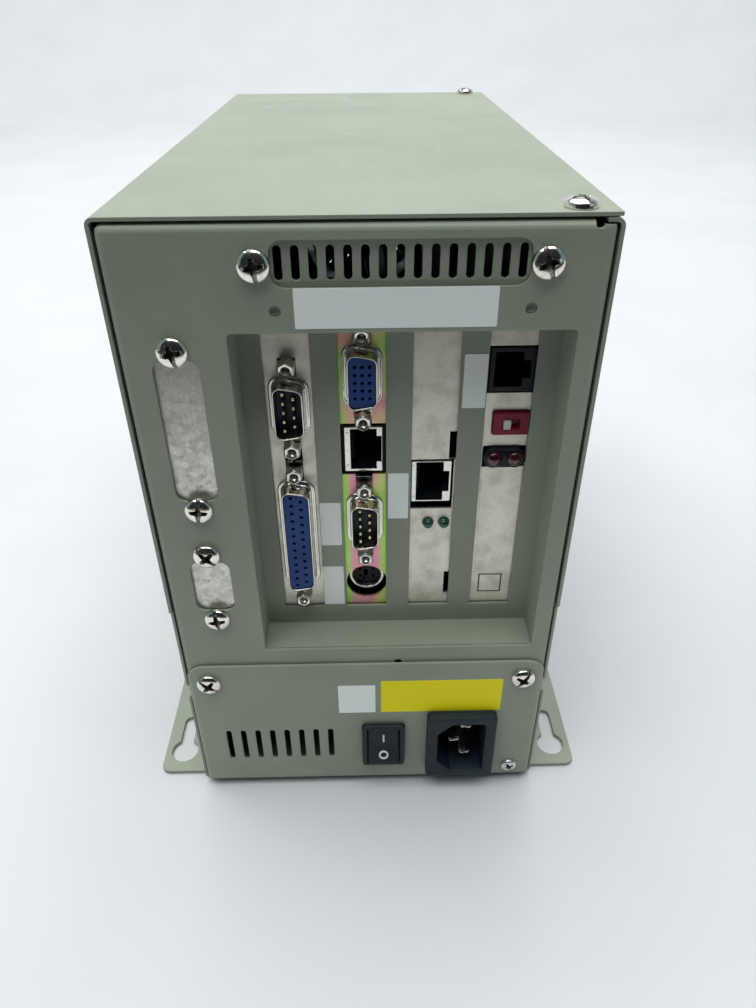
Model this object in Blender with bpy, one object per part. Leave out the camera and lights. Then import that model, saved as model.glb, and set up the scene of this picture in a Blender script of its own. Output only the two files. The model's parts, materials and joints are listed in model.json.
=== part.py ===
"""Card-cage controller: a small upright industrial computer in a folded sheet-metal case.

Metres, +Z up. The origin is at the centre of the mounting plate's underside. The connector side faces -Y.
"""

import math

import bmesh
import bpy
from mathutils import Vector

# Overall sizes
CASE_WIDTH = 0.122
CASE_DEPTH = 0.244
SHEET = 0.001  # cover, panels, pocket, shelf
TRAY_SHEET = 0.0008
BRACKET_SHEET = 0.0009
BEND = 0.0015  # middle radius of a folded edge
GAP = 0.0003  # between pieces that touch

# Heights, from the floor up
PLATE_THICKNESS = 0.0016
TRAY_WALL_TOP = 0.0837
POWER_BAY_HEIGHT = 0.062
POCKET_SILL = 0.0061  # from the power bay's plate up to the pocket
POCKET_HEIGHT = 0.1071
TOP_BAND = 0.0273  # from the pocket up to the top of the cover
SHELF_HEIGHT = 0.057
BACKPLANE_HEIGHT = 0.061

# Mounting plate
EAR_REACH = 0.017
PLATE_SETBACK = 0.004
KEYHOLE_INSET = 0.0072  # from the ear's outer edge to the keyhole's middle
KEYHOLE_RADIUS = 0.005
KEYHOLE_SLOT = 0.005
KEYHOLE_TRAVEL = 0.0137
KEYHOLE_SETBACK = 0.0133
KEYHOLE_PITCH = 0.2

# Front panel
FLANGE_DEPTH = 0.012
SIDE_FLANGE = 0.0042  # the right side's top flange
CORNER_NICK = 0.0022  # relief cut beside that flange
VENT_WIDTH = 0.061
VENT_HEIGHT = 0.0112
VENT_DROP = 0.0108  # from the top of the cover to the vent's middle
VENT_SLOTS = 15
VENT_PITCH = 0.00409
VENT_SLOT_WIDTH = 0.002
VENT_SLOT_HEIGHT = 0.0083
VENT_SCREW_SPAN = 0.0681
PORT_COLUMN = 0.0151  # from the case's left side to the middle of the blanked ports
PORT_WIDTH = 0.0118
LARGE_PORT_HEIGHT = 0.0423
LARGE_PORT_SCREWS = 0.04704
LARGE_PORT_DROP = 0.0551
SMALL_PORT_HEIGHT = 0.0192
SMALL_PORT_SCREWS = 0.02499
SMALL_PORT_DROP = 0.1074
BLANK_WIDTH = 0.0155

# Card pocket and brackets
POCKET_DEPTH = 0.013
POCKET_INSET = 0.0074  # from the case's right side
SLOT_COUNT = 4
SLOT_PITCH = 0.02032
SLOT_WIDTH = 0.013
SLOT_MARGIN = 0.0125  # from the pocket's side to the first slot's middle
SLOT_RISE = 0.0069  # from the pocket's floor to the slots
LEDGE_RISE = 0.006  # from the pocket's ceiling to the ledge that carries the brackets
BRACKET_WIDTH = 0.0184
BRACKET_HEIGHT = 0.1128
TAB_LENGTH = 0.0108
BOARD_THICKNESS = 0.0016
BOARD_OFFSET = 0.0069  # from the slot's middle to the board's face
BOARD_LENGTH = 0.16
CONNECTOR_LENGTH = 0.089
CONNECTOR_HEIGHT = 0.0115
PORT_WIDE = 0.0083  # a D-shaped port's shell, across
PORT_REACH = 0.0057  # and how far it stands out of the bracket
JACKSCREW_RADIUS = 0.0026
CHANNEL_WIDTH = 0.005  # bracket cut-out that joins a port's opening to its jackscrews
CHANNEL_LAP = 0.0016  # and how far it starts inside the port's opening
CHANNEL_END = 0.0019  # and runs on past the jackscrew
CHANNEL_REACH = 0.007  # from the network jack's middle
FOOT_STEP = 0.0041  # each side of a bracket's foot steps in this far
JACK_DEPTH = 0.0165
KEYBOARD_COLLAR = 0.0059
KEYBOARD_MOUTH = 0.0048

# Power bay
POWER_PLATE_RADIUS = 0.006
POWER_VENT_SLOTS = 8
POWER_VENT_PITCH = 0.00509
INLET_WIDTH = 0.024
INLET_HEIGHT = 0.031
INLET_CAVITY_WIDTH = 0.0165
INLET_CAVITY_HEIGHT = 0.0244
SWITCH_WIDTH = 0.015
SWITCH_HEIGHT = 0.021
SWITCH_RIM = 0.0017  # how much taller the bezel is than the body behind it
ROCKER_WIDTH = 0.0108
ROCKER_HEIGHT = 0.016
ROCKER_TILT = math.radians(8)

# Screws and fan
SCREW_HEAD_RADIUS = 0.004
SCREW_HEAD_HEIGHT = 0.0024
SCREW_RADIUS = 0.0017
SCREW_HOLE = 0.002
FAN_SIZE = 0.06
FAN_DEPTH = 0.02
FAN_BLADES = 7
GRILLE_SLOT = 0.003
REAR_VENT_PITCH = 0.008
REAR_VENT_HEIGHT = 0.024

# Worked out from the sizes above
HALF_WIDTH = CASE_WIDTH / 2
FRONT = -CASE_DEPTH / 2
BACK = CASE_DEPTH / 2
POCKET_BOTTOM = POWER_BAY_HEIGHT + POCKET_SILL
POCKET_TOP = POCKET_BOTTOM + POCKET_HEIGHT
CASE_HEIGHT = POCKET_TOP + TOP_BAND
TRAY_BOTTOM = PLATE_THICKNESS + GAP
TRAY_FLOOR = TRAY_BOTTOM + TRAY_SHEET
TRAY_HALF = HALF_WIDTH - 0.0005
PANEL_HALF = TRAY_HALF - TRAY_SHEET - GAP
PANEL_TOP = CASE_HEIGHT - SHEET - 2 * GAP
PANEL_FOOT = POWER_BAY_HEIGHT - 0.0115
FLANGE_EDGE = HALF_WIDTH - SIDE_FLANGE
CORNER_CLEAR = PANEL_TOP - SHEET - GAP / 2
POCKET_RIGHT = HALF_WIDTH - POCKET_INSET
POCKET_WIDTH = (SLOT_COUNT - 1) * SLOT_PITCH + 2 * SLOT_MARGIN
POCKET_LEFT = POCKET_RIGHT - POCKET_WIDTH
SLOTS = [POCKET_LEFT + SLOT_MARGIN + SLOT_PITCH * index for index in range(SLOT_COUNT)]
SLOT_BOTTOM = POCKET_BOTTOM + SLOT_RISE
LEDGE_TOP = POCKET_TOP + LEDGE_RISE
TAB_UNDERSIDE = LEDGE_TOP + GAP
BEHIND_PANEL = FRONT + SHEET + GAP
POCKET_BACK = FRONT + POCKET_DEPTH
BRACKET_FRONT = POCKET_BACK + SHEET + GAP
BRACKET_BACK = BRACKET_FRONT + BRACKET_SHEET
POWER_PLATE_FRONT = FRONT - GAP - SHEET
VENT_X = POCKET_LEFT + POCKET_WIDTH / 2 - 0.0006
VENT_Z = CASE_HEIGHT - VENT_DROP
PORT_X = PORT_COLUMN - HALF_WIDTH
LARGE_PORT_Z = CASE_HEIGHT - LARGE_PORT_DROP
SMALL_PORT_Z = CASE_HEIGHT - SMALL_PORT_DROP
KEYHOLE_X = HALF_WIDTH + EAR_REACH - KEYHOLE_INSET
FAN_Y = BACK - SHEET - GAP - FAN_DEPTH / 2
FAN_Z = POCKET_TOP - 0.035
FAN_X = 0.0
INLET_X = HALF_WIDTH - 0.0283
INLET_Z = 0.0234
SWITCH_X = INLET_X - 0.0271
SWITCH_Z = 0.0229
POWER_SCREW_X = HALF_WIDTH - 0.009
POWER_SCREW_Z = POWER_BAY_HEIGHT - 0.007
GROUND_X = HALF_WIDTH - 0.0097
GROUND_Z = 0.0092

# Colours
PAINT = (0.36, 0.40, 0.33, 1)
ZINC = (0.62, 0.60, 0.54, 1)
NICKEL = (0.75, 0.73, 0.68, 1)
CHROMATE = (0.55, 0.60, 0.34, 1)
BLACK = (0.02, 0.03, 0.04, 1)
BLUE = (0.03, 0.09, 0.35, 1)
GREEN = (0.02, 0.13, 0.05, 1)
DARK_RED = (0.15, 0.01, 0.02, 1)
RED = (0.45, 0.02, 0.04, 1)
WHITE = (0.8, 0.8, 0.76, 1)
COPPER = (0.6, 0.35, 0.15, 1)

for leftover in list(bpy.data.objects):
    bpy.data.objects.remove(leftover)


# ---------------------------------------------------------------- shapes

AXIS_ORDER = {
    "X": lambda u, v, w: (w, u, v),
    "Y": lambda u, v, w: (u, w, v),
    "Z": lambda u, v, w: (u, v, w),
}


def material(name, colour, roughness, metallic):
    """The named Principled material, made once."""
    found = bpy.data.materials.get(name)
    if found:
        return found
    made = bpy.data.materials.new(name)
    made.use_nodes = True
    shader = made.node_tree.nodes["Principled BSDF"]
    shader.inputs["Base Color"].default_value = colour
    shader.inputs["Roughness"].default_value = roughness
    shader.inputs["Metallic"].default_value = metallic
    return made


def place(name, shape):
    """Turn a bmesh into a linked object with its faces pointing out."""
    bmesh.ops.recalc_face_normals(shape, faces=shape.faces)
    mesh = bpy.data.meshes.new(name)
    shape.to_mesh(mesh)
    shape.free()
    made = bpy.data.objects.new(name, mesh)
    bpy.context.collection.objects.link(made)
    return made


def prisms(name, outlines, axis, start, end):
    """Closed bodies: each outline of (u, v) points carried from start to end along the axis."""
    order = AXIS_ORDER[axis]
    shape = bmesh.new()
    for outline in outlines:
        near = [shape.verts.new(order(u, v, start)) for u, v in outline]
        far = [shape.verts.new(order(u, v, end)) for u, v in outline]
        shape.faces.new(near)
        shape.faces.new(list(reversed(far)))
        for index in range(len(near)):
            following = (index + 1) % len(near)
            shape.faces.new((near[index], far[index], far[following], near[following]))
    return place(name, shape)


def boxes(name, corners):
    """Closed boxes, one for each (low corner, high corner)."""
    shape = bmesh.new()
    for low, high in corners:
        cube = bmesh.ops.create_cube(shape, size=1)["verts"]
        middle = (Vector(low) + Vector(high)) / 2
        size = Vector(high) - Vector(low)
        bmesh.ops.scale(shape, verts=cube, vec=size)
        bmesh.ops.translate(shape, verts=cube, vec=middle)
    return place(name, shape)


def turned(name, profile, foot, axis, sides=14):
    """A body of revolution: (radius, height) points from pole to pole, turned about an axis through the foot."""
    shape = bmesh.new()
    spin = Vector((0, 0, 1)).rotation_difference(Vector(axis)).to_matrix()
    rings = []
    for radius, height in profile:
        steps = sides if radius > 0 else 1
        turns = [math.tau * step / steps for step in range(steps)]
        spots = [Vector((radius * math.cos(turn), radius * math.sin(turn), height)) for turn in turns]
        rings.append([shape.verts.new(spin @ spot + Vector(foot)) for spot in spots])
    for lower, upper in zip(rings, rings[1:]):
        for index in range(sides):
            corners = [
                lower[index % len(lower)],
                lower[(index + 1) % len(lower)],
                upper[(index + 1) % len(upper)],
                upper[index % len(upper)],
            ]
            shape.faces.new(list(dict.fromkeys(corners)))
    return place(name, shape)


def rounded(points, radii, steps=3):
    """The outline with each corner turned into an arc; radii is one radius, or one for each corner."""
    if not isinstance(radii, (list, tuple)):
        radii = [radii] * len(points)
    outline = []
    for index, point in enumerate(points):
        here = Vector(point)
        if radii[index] <= 0:
            outline.append(tuple(here))
            continue
        before = (Vector(points[index - 1]) - here).normalized()
        after = (Vector(points[(index + 1) % len(points)]) - here).normalized()
        half = before.angle(after) / 2
        centre = here + (before + after).normalized() * radii[index] / math.sin(half)
        reach = radii[index] / math.tan(half)
        first = here + before * reach - centre
        last = here + after * reach - centre
        start = math.atan2(first.y, first.x)
        turn = (math.atan2(last.y, last.x) - start + math.pi) % math.tau - math.pi
        for step in range(steps + 1):
            angle = start + turn * step / steps
            outline.append(
                (centre.x + radii[index] * math.cos(angle), centre.y + radii[index] * math.sin(angle))
            )
    return outline


def rectangle(u, v, width, height, radius=0, steps=3):
    """A rectangle about (u, v), with its corners rounded."""
    half_width = width / 2
    half_height = height / 2
    corners = [
        (u - half_width, v - half_height),
        (u + half_width, v - half_height),
        (u + half_width, v + half_height),
        (u - half_width, v + half_height),
    ]
    return rounded(corners, radius, steps) if radius else corners


def circle(u, v, radius, sides=16):
    """A circle's outline."""
    turns = [math.tau * (side + 0.5) / sides for side in range(sides)]
    return [(u + radius * math.cos(turn), v + radius * math.sin(turn)) for turn in turns]


def folded(path, thickness, bend, steps=3):
    """The outline of a folded sheet whose middle follows the path, with bends of the given middle radius."""
    points = [Vector(point) for point in path]
    left = []
    right = []
    left_radii = []
    right_radii = []
    for index, here in enumerate(points):
        into = (here - points[index - 1]).normalized() if index else None
        out = (points[index + 1] - here).normalized() if index < len(points) - 1 else None
        first = into or out
        second = out or into
        normal = Vector((-first.y, first.x)) + Vector((-second.y, second.x))
        normal = normal / normal.length
        reach = thickness / 2 / normal.dot(Vector((-first.y, first.x)))
        turn = first.x * second.y - first.y * second.x
        side = (turn > 0) - (turn < 0)
        left.append(tuple(here + normal * reach))
        right.append(tuple(here - normal * reach))
        left_radii.append(abs(side) * (bend - side * thickness / 2))
        right_radii.append(abs(side) * (bend + side * thickness / 2))
    return rounded(left + right[::-1], left_radii + right_radii[::-1], steps)


def combine(target, tool, operation):
    """A live Boolean of the target with the tool, which is left as a hidden guide."""
    tool.hide_render = True
    tool.display_type = "WIRE"
    modifier = target.modifiers.new(tool.name, "BOOLEAN")
    modifier.operation = operation
    modifier.solver = "EXACT"
    modifier.object = tool


def cut(target, *tools):
    """Take the tools away from the target."""
    for tool in tools:
        combine(target, tool, "DIFFERENCE")


def add(target, *tools):
    """Weld the tools onto the target."""
    for tool in tools:
        combine(target, tool, "UNION")


def finish(piece, coat, smooth=False):
    """Give a piece its material, and smooth shading where it is round."""
    piece.data.materials.append(coat)
    if smooth:
        piece.data.shade_smooth()
        piece.data.set_sharp_from_angle(angle=math.radians(35))
    return piece


PAINTED = material("painted_steel", PAINT, 0.55, 0.0)
ZINC_PLATE = material("zinc_plate", ZINC, 0.42, 0.9)
NICKEL_PLATE = material("nickel_plate", NICKEL, 0.25, 1.0)
CHROMATED = material("yellow_chromate", CHROMATE, 0.35, 0.8)
BLACK_PLASTIC = material("black_plastic", BLACK, 0.45, 0.0)
BLUE_PLASTIC = material("blue_plastic", BLUE, 0.4, 0.0)
CIRCUIT_BOARD = material("circuit_board", GREEN, 0.5, 0.0)
RED_LENS = material("red_lens", DARK_RED, 0.2, 0.0)
RED_PLASTIC = material("red_plastic", RED, 0.4, 0.0)
GREEN_LENS = material("green_lens", GREEN, 0.2, 0.0)
WHITE_PLASTIC = material("white_plastic", WHITE, 0.5, 0.0)
TRANSFORMER = material("transformer", COPPER, 0.5, 0.4)


# ---------------------------------------------------------------- case

def mounting_plate():
    """Flat plate under the case, with ears and four keyholes that all open the same way."""
    half = HALF_WIDTH + EAR_REACH
    middle = (FRONT + PLATE_SETBACK + BACK - PLATE_SETBACK) / 2
    length = CASE_DEPTH - 2 * PLATE_SETBACK
    outline = rectangle(0, middle, 2 * half, length, 0.003)
    piece = prisms("mounting_plate", [outline], "Z", 0, PLATE_THICKNESS)
    for name, mouth in (
        ("front", FRONT + KEYHOLE_SETBACK), ("rear", FRONT + KEYHOLE_SETBACK + KEYHOLE_PITCH)
    ):
        eyes = [circle(side * KEYHOLE_X, mouth, KEYHOLE_RADIUS) for side in (-1, 1)]
        slots = [
            rectangle(
                side * KEYHOLE_X,
                mouth + KEYHOLE_TRAVEL / 2,
                KEYHOLE_SLOT,
                KEYHOLE_TRAVEL + KEYHOLE_SLOT,
                KEYHOLE_SLOT * 0.49,
            )
            for side in (-1, 1)
        ]
        cut(
            piece,
            prisms(f"{name}_keyhole_eyes", eyes, "Z", -SHEET, PLATE_THICKNESS + SHEET),
            prisms(f"{name}_keyhole_slots", slots, "Z", -SHEET * 1.5, PLATE_THICKNESS + SHEET * 1.5),
        )
    finish(piece, PAINTED)


def base_tray():
    """Folded tray whose walls joggle in behind the cover's side and the right side panel."""
    outer = TRAY_HALF
    inner = outer - TRAY_SHEET
    lip = inner - TRAY_SHEET
    top = TRAY_WALL_TOP
    lip_top = top + 0.01
    right = [
        (outer, TRAY_BOTTOM),
        (outer, top),
        (inner, top),
        (inner, lip_top),
        (lip, lip_top),
        (lip, top - TRAY_SHEET),
        (inner, top - TRAY_SHEET),
        (inner, TRAY_FLOOR),
    ]
    left = [(-x, z) for x, z in reversed(right)]
    radii = [BEND] + [0] * 6 + [BEND - TRAY_SHEET]
    outline = rounded(right + left, radii + radii[::-1])
    piece = prisms("base_tray", [outline], "Y", FRONT + 0.0008, BACK - 0.0008)
    room = FLANGE_DEPTH + 0.0013
    clear_low = top - TRAY_SHEET - GAP
    lips = [
        ((-inner, FRONT - SHEET, clear_low), (inner, FRONT + room, lip_top + SHEET)),
        ((-inner, BACK - room, clear_low), (inner, BACK + SHEET, lip_top + SHEET)),
    ]
    notch_top = POWER_BAY_HEIGHT - 0.0105
    notch = (
        (-outer - SHEET, FRONT - SHEET, notch_top - 0.0055), (outer + SHEET, FRONT + 0.0035, notch_top)
    )
    cut(piece, boxes("tray_lip_ends", lips), boxes("tray_notches", [notch]))
    finish(piece, PAINTED)


def card_shelf():
    """Tunnel over the power supply that stands in the tray and carries the backplane on six posts."""
    half = PANEL_HALF - SHEET / 2
    path = [
        (-half, TRAY_FLOOR + 2 * GAP),
        (-half, SHELF_HEIGHT - SHEET / 2),
        (half, SHELF_HEIGHT - SHEET / 2),
        (half, TRAY_FLOOR + 2 * GAP),
    ]
    start = FRONT + FLANGE_DEPTH + 0.002
    end = BACK - FLANGE_DEPTH - 0.002
    piece = prisms("card_shelf", [folded(path, SHEET, BEND)], "Y", start, end)
    posts = [
        circle(x, y, 0.003, 10)
        for x in (SLOTS[0] - 0.006, SLOTS[-1] + 0.003)
        for y in (FRONT + 0.025, FRONT + 0.09, FRONT + 0.155)
    ]
    add(piece, prisms("shelf_posts", posts, "Z", SHELF_HEIGHT - SHEET / 2, BACKPLANE_HEIGHT - GAP))
    finish(piece, ZINC_PLATE)


def pan_block(name, inset, start, end, foot):
    """Block whose start face has rounded edges at its sides and top, inset from the pan's outside."""
    half = PANEL_HALF - inset
    shape = bmesh.new()
    cube = bmesh.ops.create_cube(shape, size=1)["verts"]
    low = Vector((-half, min(start, end), foot))
    high = Vector((half, max(start, end), PANEL_TOP - inset))
    bmesh.ops.scale(shape, verts=cube, vec=high - low)
    bmesh.ops.translate(shape, verts=cube, vec=(low + high) / 2)
    folds = []
    for edge in shape.edges:
        ends = [vert.co for vert in edge.verts]
        on_face = all(abs(end_point.y - start) < GAP for end_point in ends)
        at_foot = all(abs(end_point.z - foot) < GAP for end_point in ends)
        at_top = all(end_point.z > foot + GAP for end_point in ends)
        along = abs(ends[0].y - ends[1].y) > GAP
        if (on_face and not at_foot) or (at_top and along):
            folds.append(edge)
    bmesh.ops.bevel(
        shape, geom=folds, offset=BEND + SHEET / 2 - inset, segments=3, profile=0.5, affect="EDGES"
    )
    return place(name, shape)


def pan(name, face, inward, foot):
    """Face with flanges at its sides and top, folded towards inward (+1 is +Y)."""
    deep = face + inward * FLANGE_DEPTH
    piece = pan_block(name, 0, face, deep, foot)
    cut(
        piece,
        pan_block(f"{name}_hollow", SHEET, face + inward * SHEET, deep + inward * SHEET, foot - SHEET),
    )
    return piece


def cover_screw_hole(name, number):
    """Tool for a cover screw's hole in a panel's top flange."""
    x, y = cover_screws()[number]
    return prisms(name, [circle(x, y, SCREW_HOLE, 10)], "Z", PANEL_TOP - 2 * SHEET, PANEL_TOP + SHEET)


def front_panel():
    """Pan with the pocket's opening, the vent opening, two port openings and the screw holes."""
    piece = pan("front_panel", FRONT, 1, PANEL_FOOT)
    before = FRONT - SHEET
    behind = FRONT + 2 * SHEET
    pocket_x = (POCKET_LEFT + POCKET_RIGHT) / 2
    pocket_z = (POCKET_BOTTOM + POCKET_TOP) / 2
    openings = [
        rectangle(pocket_x, pocket_z, POCKET_WIDTH, POCKET_HEIGHT, 0.0012, 2),
        rectangle(VENT_X, VENT_Z, VENT_WIDTH, VENT_HEIGHT, 0.0032, 4),
        rectangle(PORT_X, LARGE_PORT_Z, PORT_WIDTH, LARGE_PORT_HEIGHT, 0.003, 3),
        rectangle(PORT_X, SMALL_PORT_Z, PORT_WIDTH, SMALL_PORT_HEIGHT, 0.003, 3),
    ]
    holes = [circle(x, z, SCREW_HOLE, 10) for x, z in front_screws()]
    holes += [circle(x, POCKET_TOP + 0.0055, 0.0015, 10) for x in pocket_rivets()]
    holes += [circle(x, POWER_SCREW_Z, SCREW_HOLE, 10) for x in (-POWER_SCREW_X, POWER_SCREW_X)]
    holes += [circle(0.0105, POWER_BAY_HEIGHT - 0.0003, 0.0014, 10)]
    relief = FLANGE_EDGE - 2 * GAP
    nick = relief - CORNER_NICK
    step = [
        (nick, CORNER_CLEAR - GAP * 2.5),
        (relief, CORNER_CLEAR - GAP * 2.5),
        (relief, CORNER_CLEAR),
        (HALF_WIDTH + SHEET, CORNER_CLEAR),
        (HALF_WIDTH + SHEET, PANEL_TOP + SHEET),
        (nick, PANEL_TOP + SHEET),
    ]
    step = rounded(step, [CORNER_NICK * 0.45, CORNER_NICK * 0.45, 0, 0, 0, 0])
    cut(
        piece,
        prisms("panel_openings", openings, "Y", before, behind),
        prisms("panel_holes", holes, "Y", before * 1.001, behind),
        prisms("panel_corner_relief", [step], "Y", before, FRONT + FLANGE_DEPTH + SHEET),
        cover_screw_hole("front_cover_screw_hole", 0),
    )
    finish(piece, PAINTED)


def rear_panel():
    """Pan at the back with a round fan grille and a row of slots for the power supply."""
    piece = pan("rear_panel", BACK, -1, TRAY_FLOOR + 2 * GAP)
    reach = FAN_SIZE / 2 - 0.003
    grille = []
    for step in range(-4, 5):
        across = step * 2 * GRILLE_SLOT
        height = 2 * math.sqrt(reach * reach - across * across)
        grille.append(rectangle(FAN_X + across, FAN_Z, GRILLE_SLOT, height, GRILLE_SLOT * 0.48, 2))
    row = [
        rectangle(
            step * REAR_VENT_PITCH,
            POWER_BAY_HEIGHT / 2,
            GRILLE_SLOT,
            REAR_VENT_HEIGHT,
            GRILLE_SLOT * 0.48,
            2,
        )
        for step in range(-4, 5)
    ]
    cut(
        piece,
        prisms("rear_grilles", grille + row, "Y", BACK - 2 * SHEET, BACK + SHEET),
        cover_screw_hole("rear_cover_screw_hole", 1),
    )
    low = (FLANGE_EDGE - 4 * GAP, BACK - FLANGE_DEPTH - SHEET, CORNER_CLEAR)
    corner = (low, (HALF_WIDTH + SHEET, BACK + SHEET, CASE_HEIGHT))
    cut(piece, boxes("rear_corner_relief", [corner]))
    finish(piece, PAINTED)


def cover():
    """One sheet that is the top and the left side."""
    path = [
        (-HALF_WIDTH + SHEET / 2, TRAY_WALL_TOP + GAP),
        (-HALF_WIDTH + SHEET / 2, CASE_HEIGHT - SHEET / 2),
        (HALF_WIDTH - 0.0008, CASE_HEIGHT - SHEET / 2),
    ]
    piece = prisms("cover", [folded(path, SHEET, BEND, 4)], "Y", FRONT + 0.0008, BACK)
    holes = [circle(x, y, SCREW_HOLE, 10) for x, y in cover_screws()]
    cut(piece, prisms("cover_holes", holes, "Z", CASE_HEIGHT - 2 * SHEET, CASE_HEIGHT + SHEET))
    finish(piece, PAINTED)


def right_side_panel():
    """The right side, with a narrow flange folded in under the cover."""
    top = CASE_HEIGHT - SHEET - GAP
    path = [
        (HALF_WIDTH - SHEET / 2, TRAY_WALL_TOP + GAP),
        (HALF_WIDTH - SHEET / 2, top - SHEET / 2),
        (FLANGE_EDGE, top - SHEET / 2),
    ]
    finish(prisms("right_side_panel", [folded(path, SHEET, BEND, 4)], "Y", FRONT + 0.0008, BACK), PAINTED)


def port_blank(name, z, height, screws):
    """Plate behind a port opening, held by two screws."""
    piece = prisms(
        name,
        [rectangle(PORT_X, z, BLANK_WIDTH, height, 0.001, 2)],
        "Y",
        BEHIND_PANEL,
        BEHIND_PANEL + SHEET,
    )
    holes = [circle(PORT_X, z + side * screws / 2, SCREW_HOLE, 10) for side in (-1, 1)]
    cut(piece, prisms(f"{name}_holes", holes, "Y", FRONT, BEHIND_PANEL + 2 * SHEET))
    finish(piece, ZINC_PLATE)


def card_clamp():
    """Slotted vent plate whose foot presses the bracket tabs down on their ledge."""
    foot = TAB_UNDERSIDE + BRACKET_SHEET + GAP
    head = PANEL_TOP - SHEET - 3 * GAP
    path = [
        (BRACKET_BACK + 0.001, foot + SHEET / 2),
        (BEHIND_PANEL + SHEET / 2, foot + SHEET / 2),
        (BEHIND_PANEL + SHEET / 2, head),
    ]
    left = VENT_X - VENT_SCREW_SPAN / 2 - 0.006
    right = POCKET_RIGHT + 0.0005
    piece = prisms("card_clamp", [folded(path, SHEET, BEND)], "X", left, right)
    first = VENT_X - VENT_PITCH * (VENT_SLOTS - 1) / 2
    slots = [
        rectangle(
            first + VENT_PITCH * index,
            VENT_Z,
            VENT_SLOT_WIDTH,
            VENT_SLOT_HEIGHT,
            VENT_SLOT_WIDTH * 0.48,
            2,
        )
        for index in range(VENT_SLOTS)
    ]
    holes = [circle(VENT_X + side * VENT_SCREW_SPAN / 2, VENT_Z, SCREW_HOLE, 10) for side in (-1, 1)]
    cut(piece, prisms("vent_slots", slots + holes, "Y", FRONT, BEHIND_PANEL + 2 * SHEET))
    finish(piece, PAINTED)


def power_cover_plate():
    """Plate over the power bay, with side flanges, vent slots and the holes for the switch and inlet."""
    half = PANEL_HALF - 0.0001 - SHEET / 2
    middle = POWER_PLATE_FRONT + SHEET / 2
    deep = FRONT + 0.009
    path = [(-half, deep), (-half, middle), (half, middle), (half, deep)]
    low = 0.004
    top = POWER_BAY_HEIGHT
    piece = prisms("power_cover_plate", [folded(path, SHEET, BEND)], "Z", low, top)
    outer = half + SHEET
    radius = POWER_PLATE_RADIUS
    flange_top = PANEL_FOOT - GAP
    flanges = ((-outer, FRONT - GAP / 2, flange_top), (outer, deep + SHEET, top + SHEET))
    corners = []
    for side in (-1, 1):
        edge = side * (half + SHEET / 2)
        arc = [
            (edge - side * radius * (1 - math.cos(turn)), top - radius * (1 - math.sin(turn)))
            for turn in (math.tau / 4 * step / 5 for step in range(6))
        ]
        corners.append(
            [(edge + side * SHEET, top - radius)] + arc + [
                (arc[-1][0], top + SHEET), (edge + side * SHEET, top + SHEET)
            ]
        )
    first = -POWER_SCREW_X + 0.0034
    vents = [
        rectangle(first + POWER_VENT_PITCH * index, 0.0228, 0.002, 0.0155, 0.00096, 3)
        for index in range(POWER_VENT_SLOTS)
    ]
    holes = [
        rectangle(INLET_X, INLET_Z, INLET_WIDTH - 0.0042, INLET_HEIGHT - 0.0034),
        rectangle(SWITCH_X, SWITCH_Z, SWITCH_WIDTH - 0.0014, SWITCH_HEIGHT - SWITCH_RIM + 2 * GAP),
        circle(-POWER_SCREW_X, POWER_SCREW_Z, SCREW_HOLE, 10),
        circle(POWER_SCREW_X, POWER_SCREW_Z, SCREW_HOLE, 10),
        circle(GROUND_X, GROUND_Z, SCREW_HOLE, 10),
    ]
    cut(
        piece,
        boxes("power_plate_flange_ends", [flanges]),
        prisms("power_plate_corners", corners, "Y", POWER_PLATE_FRONT - SHEET, FRONT + SHEET),
        prisms("power_plate_holes", vents + holes, "Y", POWER_PLATE_FRONT - SHEET, FRONT + SHEET),
    )
    finish(piece, PAINTED)


# ---------------------------------------------------------------- cards

def pocket_rivets():
    """The x places of the two small holes above the pocket."""
    return (POCKET_LEFT + 0.0124, POCKET_RIGHT - 0.0122)


def slot_pocket():
    """Recessed box behind the front panel, whose back is the slot plate, with a ledge for the bracket tabs."""
    wall = SHEET
    back = POCKET_BACK + SHEET
    rim = 0.004
    rim_top = TAB_UNDERSIDE + BRACKET_SHEET - GAP
    piece = boxes(
        "slot_pocket",
        [
            (
                (POCKET_LEFT - wall, BEHIND_PANEL, POCKET_BOTTOM - wall),
                (POCKET_RIGHT + wall, back, POCKET_TOP + wall),
            )
        ],
    )
    flange = (
        (POCKET_LEFT - rim, BEHIND_PANEL - GAP / 4, POCKET_BOTTOM - rim),
        (POCKET_RIGHT + rim, BEHIND_PANEL + SHEET, rim_top),
    )
    ledge_front = BEHIND_PANEL + SHEET + 0.001
    inset = wall / 2
    upstand = (
        (POCKET_LEFT - inset, POCKET_BACK, POCKET_TOP + inset),
        (POCKET_RIGHT + inset, back - GAP / 4, LEDGE_TOP - inset),
    )
    ledge = ((POCKET_LEFT, ledge_front, LEDGE_TOP - wall), (POCKET_RIGHT, back - GAP / 2, LEDGE_TOP))
    hollow = ((POCKET_LEFT, FRONT, POCKET_BOTTOM), (POCKET_RIGHT, POCKET_BACK, POCKET_TOP))
    slot_height = POCKET_TOP - 0.0022 - SLOT_BOTTOM
    slots = [rectangle(x, SLOT_BOTTOM + slot_height / 2, SLOT_WIDTH, slot_height) for x in SLOTS]
    rivets = [circle(x, POCKET_TOP + 0.0055, 0.0015, 10) for x in pocket_rivets()]
    add(
        piece,
        boxes("pocket_flange", [flange]),
        boxes("pocket_upstand", [upstand]),
        boxes("pocket_ledge", [ledge]),
    )
    cut(
        piece,
        boxes("pocket_hollow", [hollow]),
        prisms("pocket_slots", slots, "Y", POCKET_BACK - SHEET, back + SHEET),
        prisms("pocket_rivet_holes", rivets, "Y", FRONT, BEHIND_PANEL + SHEET * 1.5),
    )
    finish(piece, PAINTED)


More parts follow.
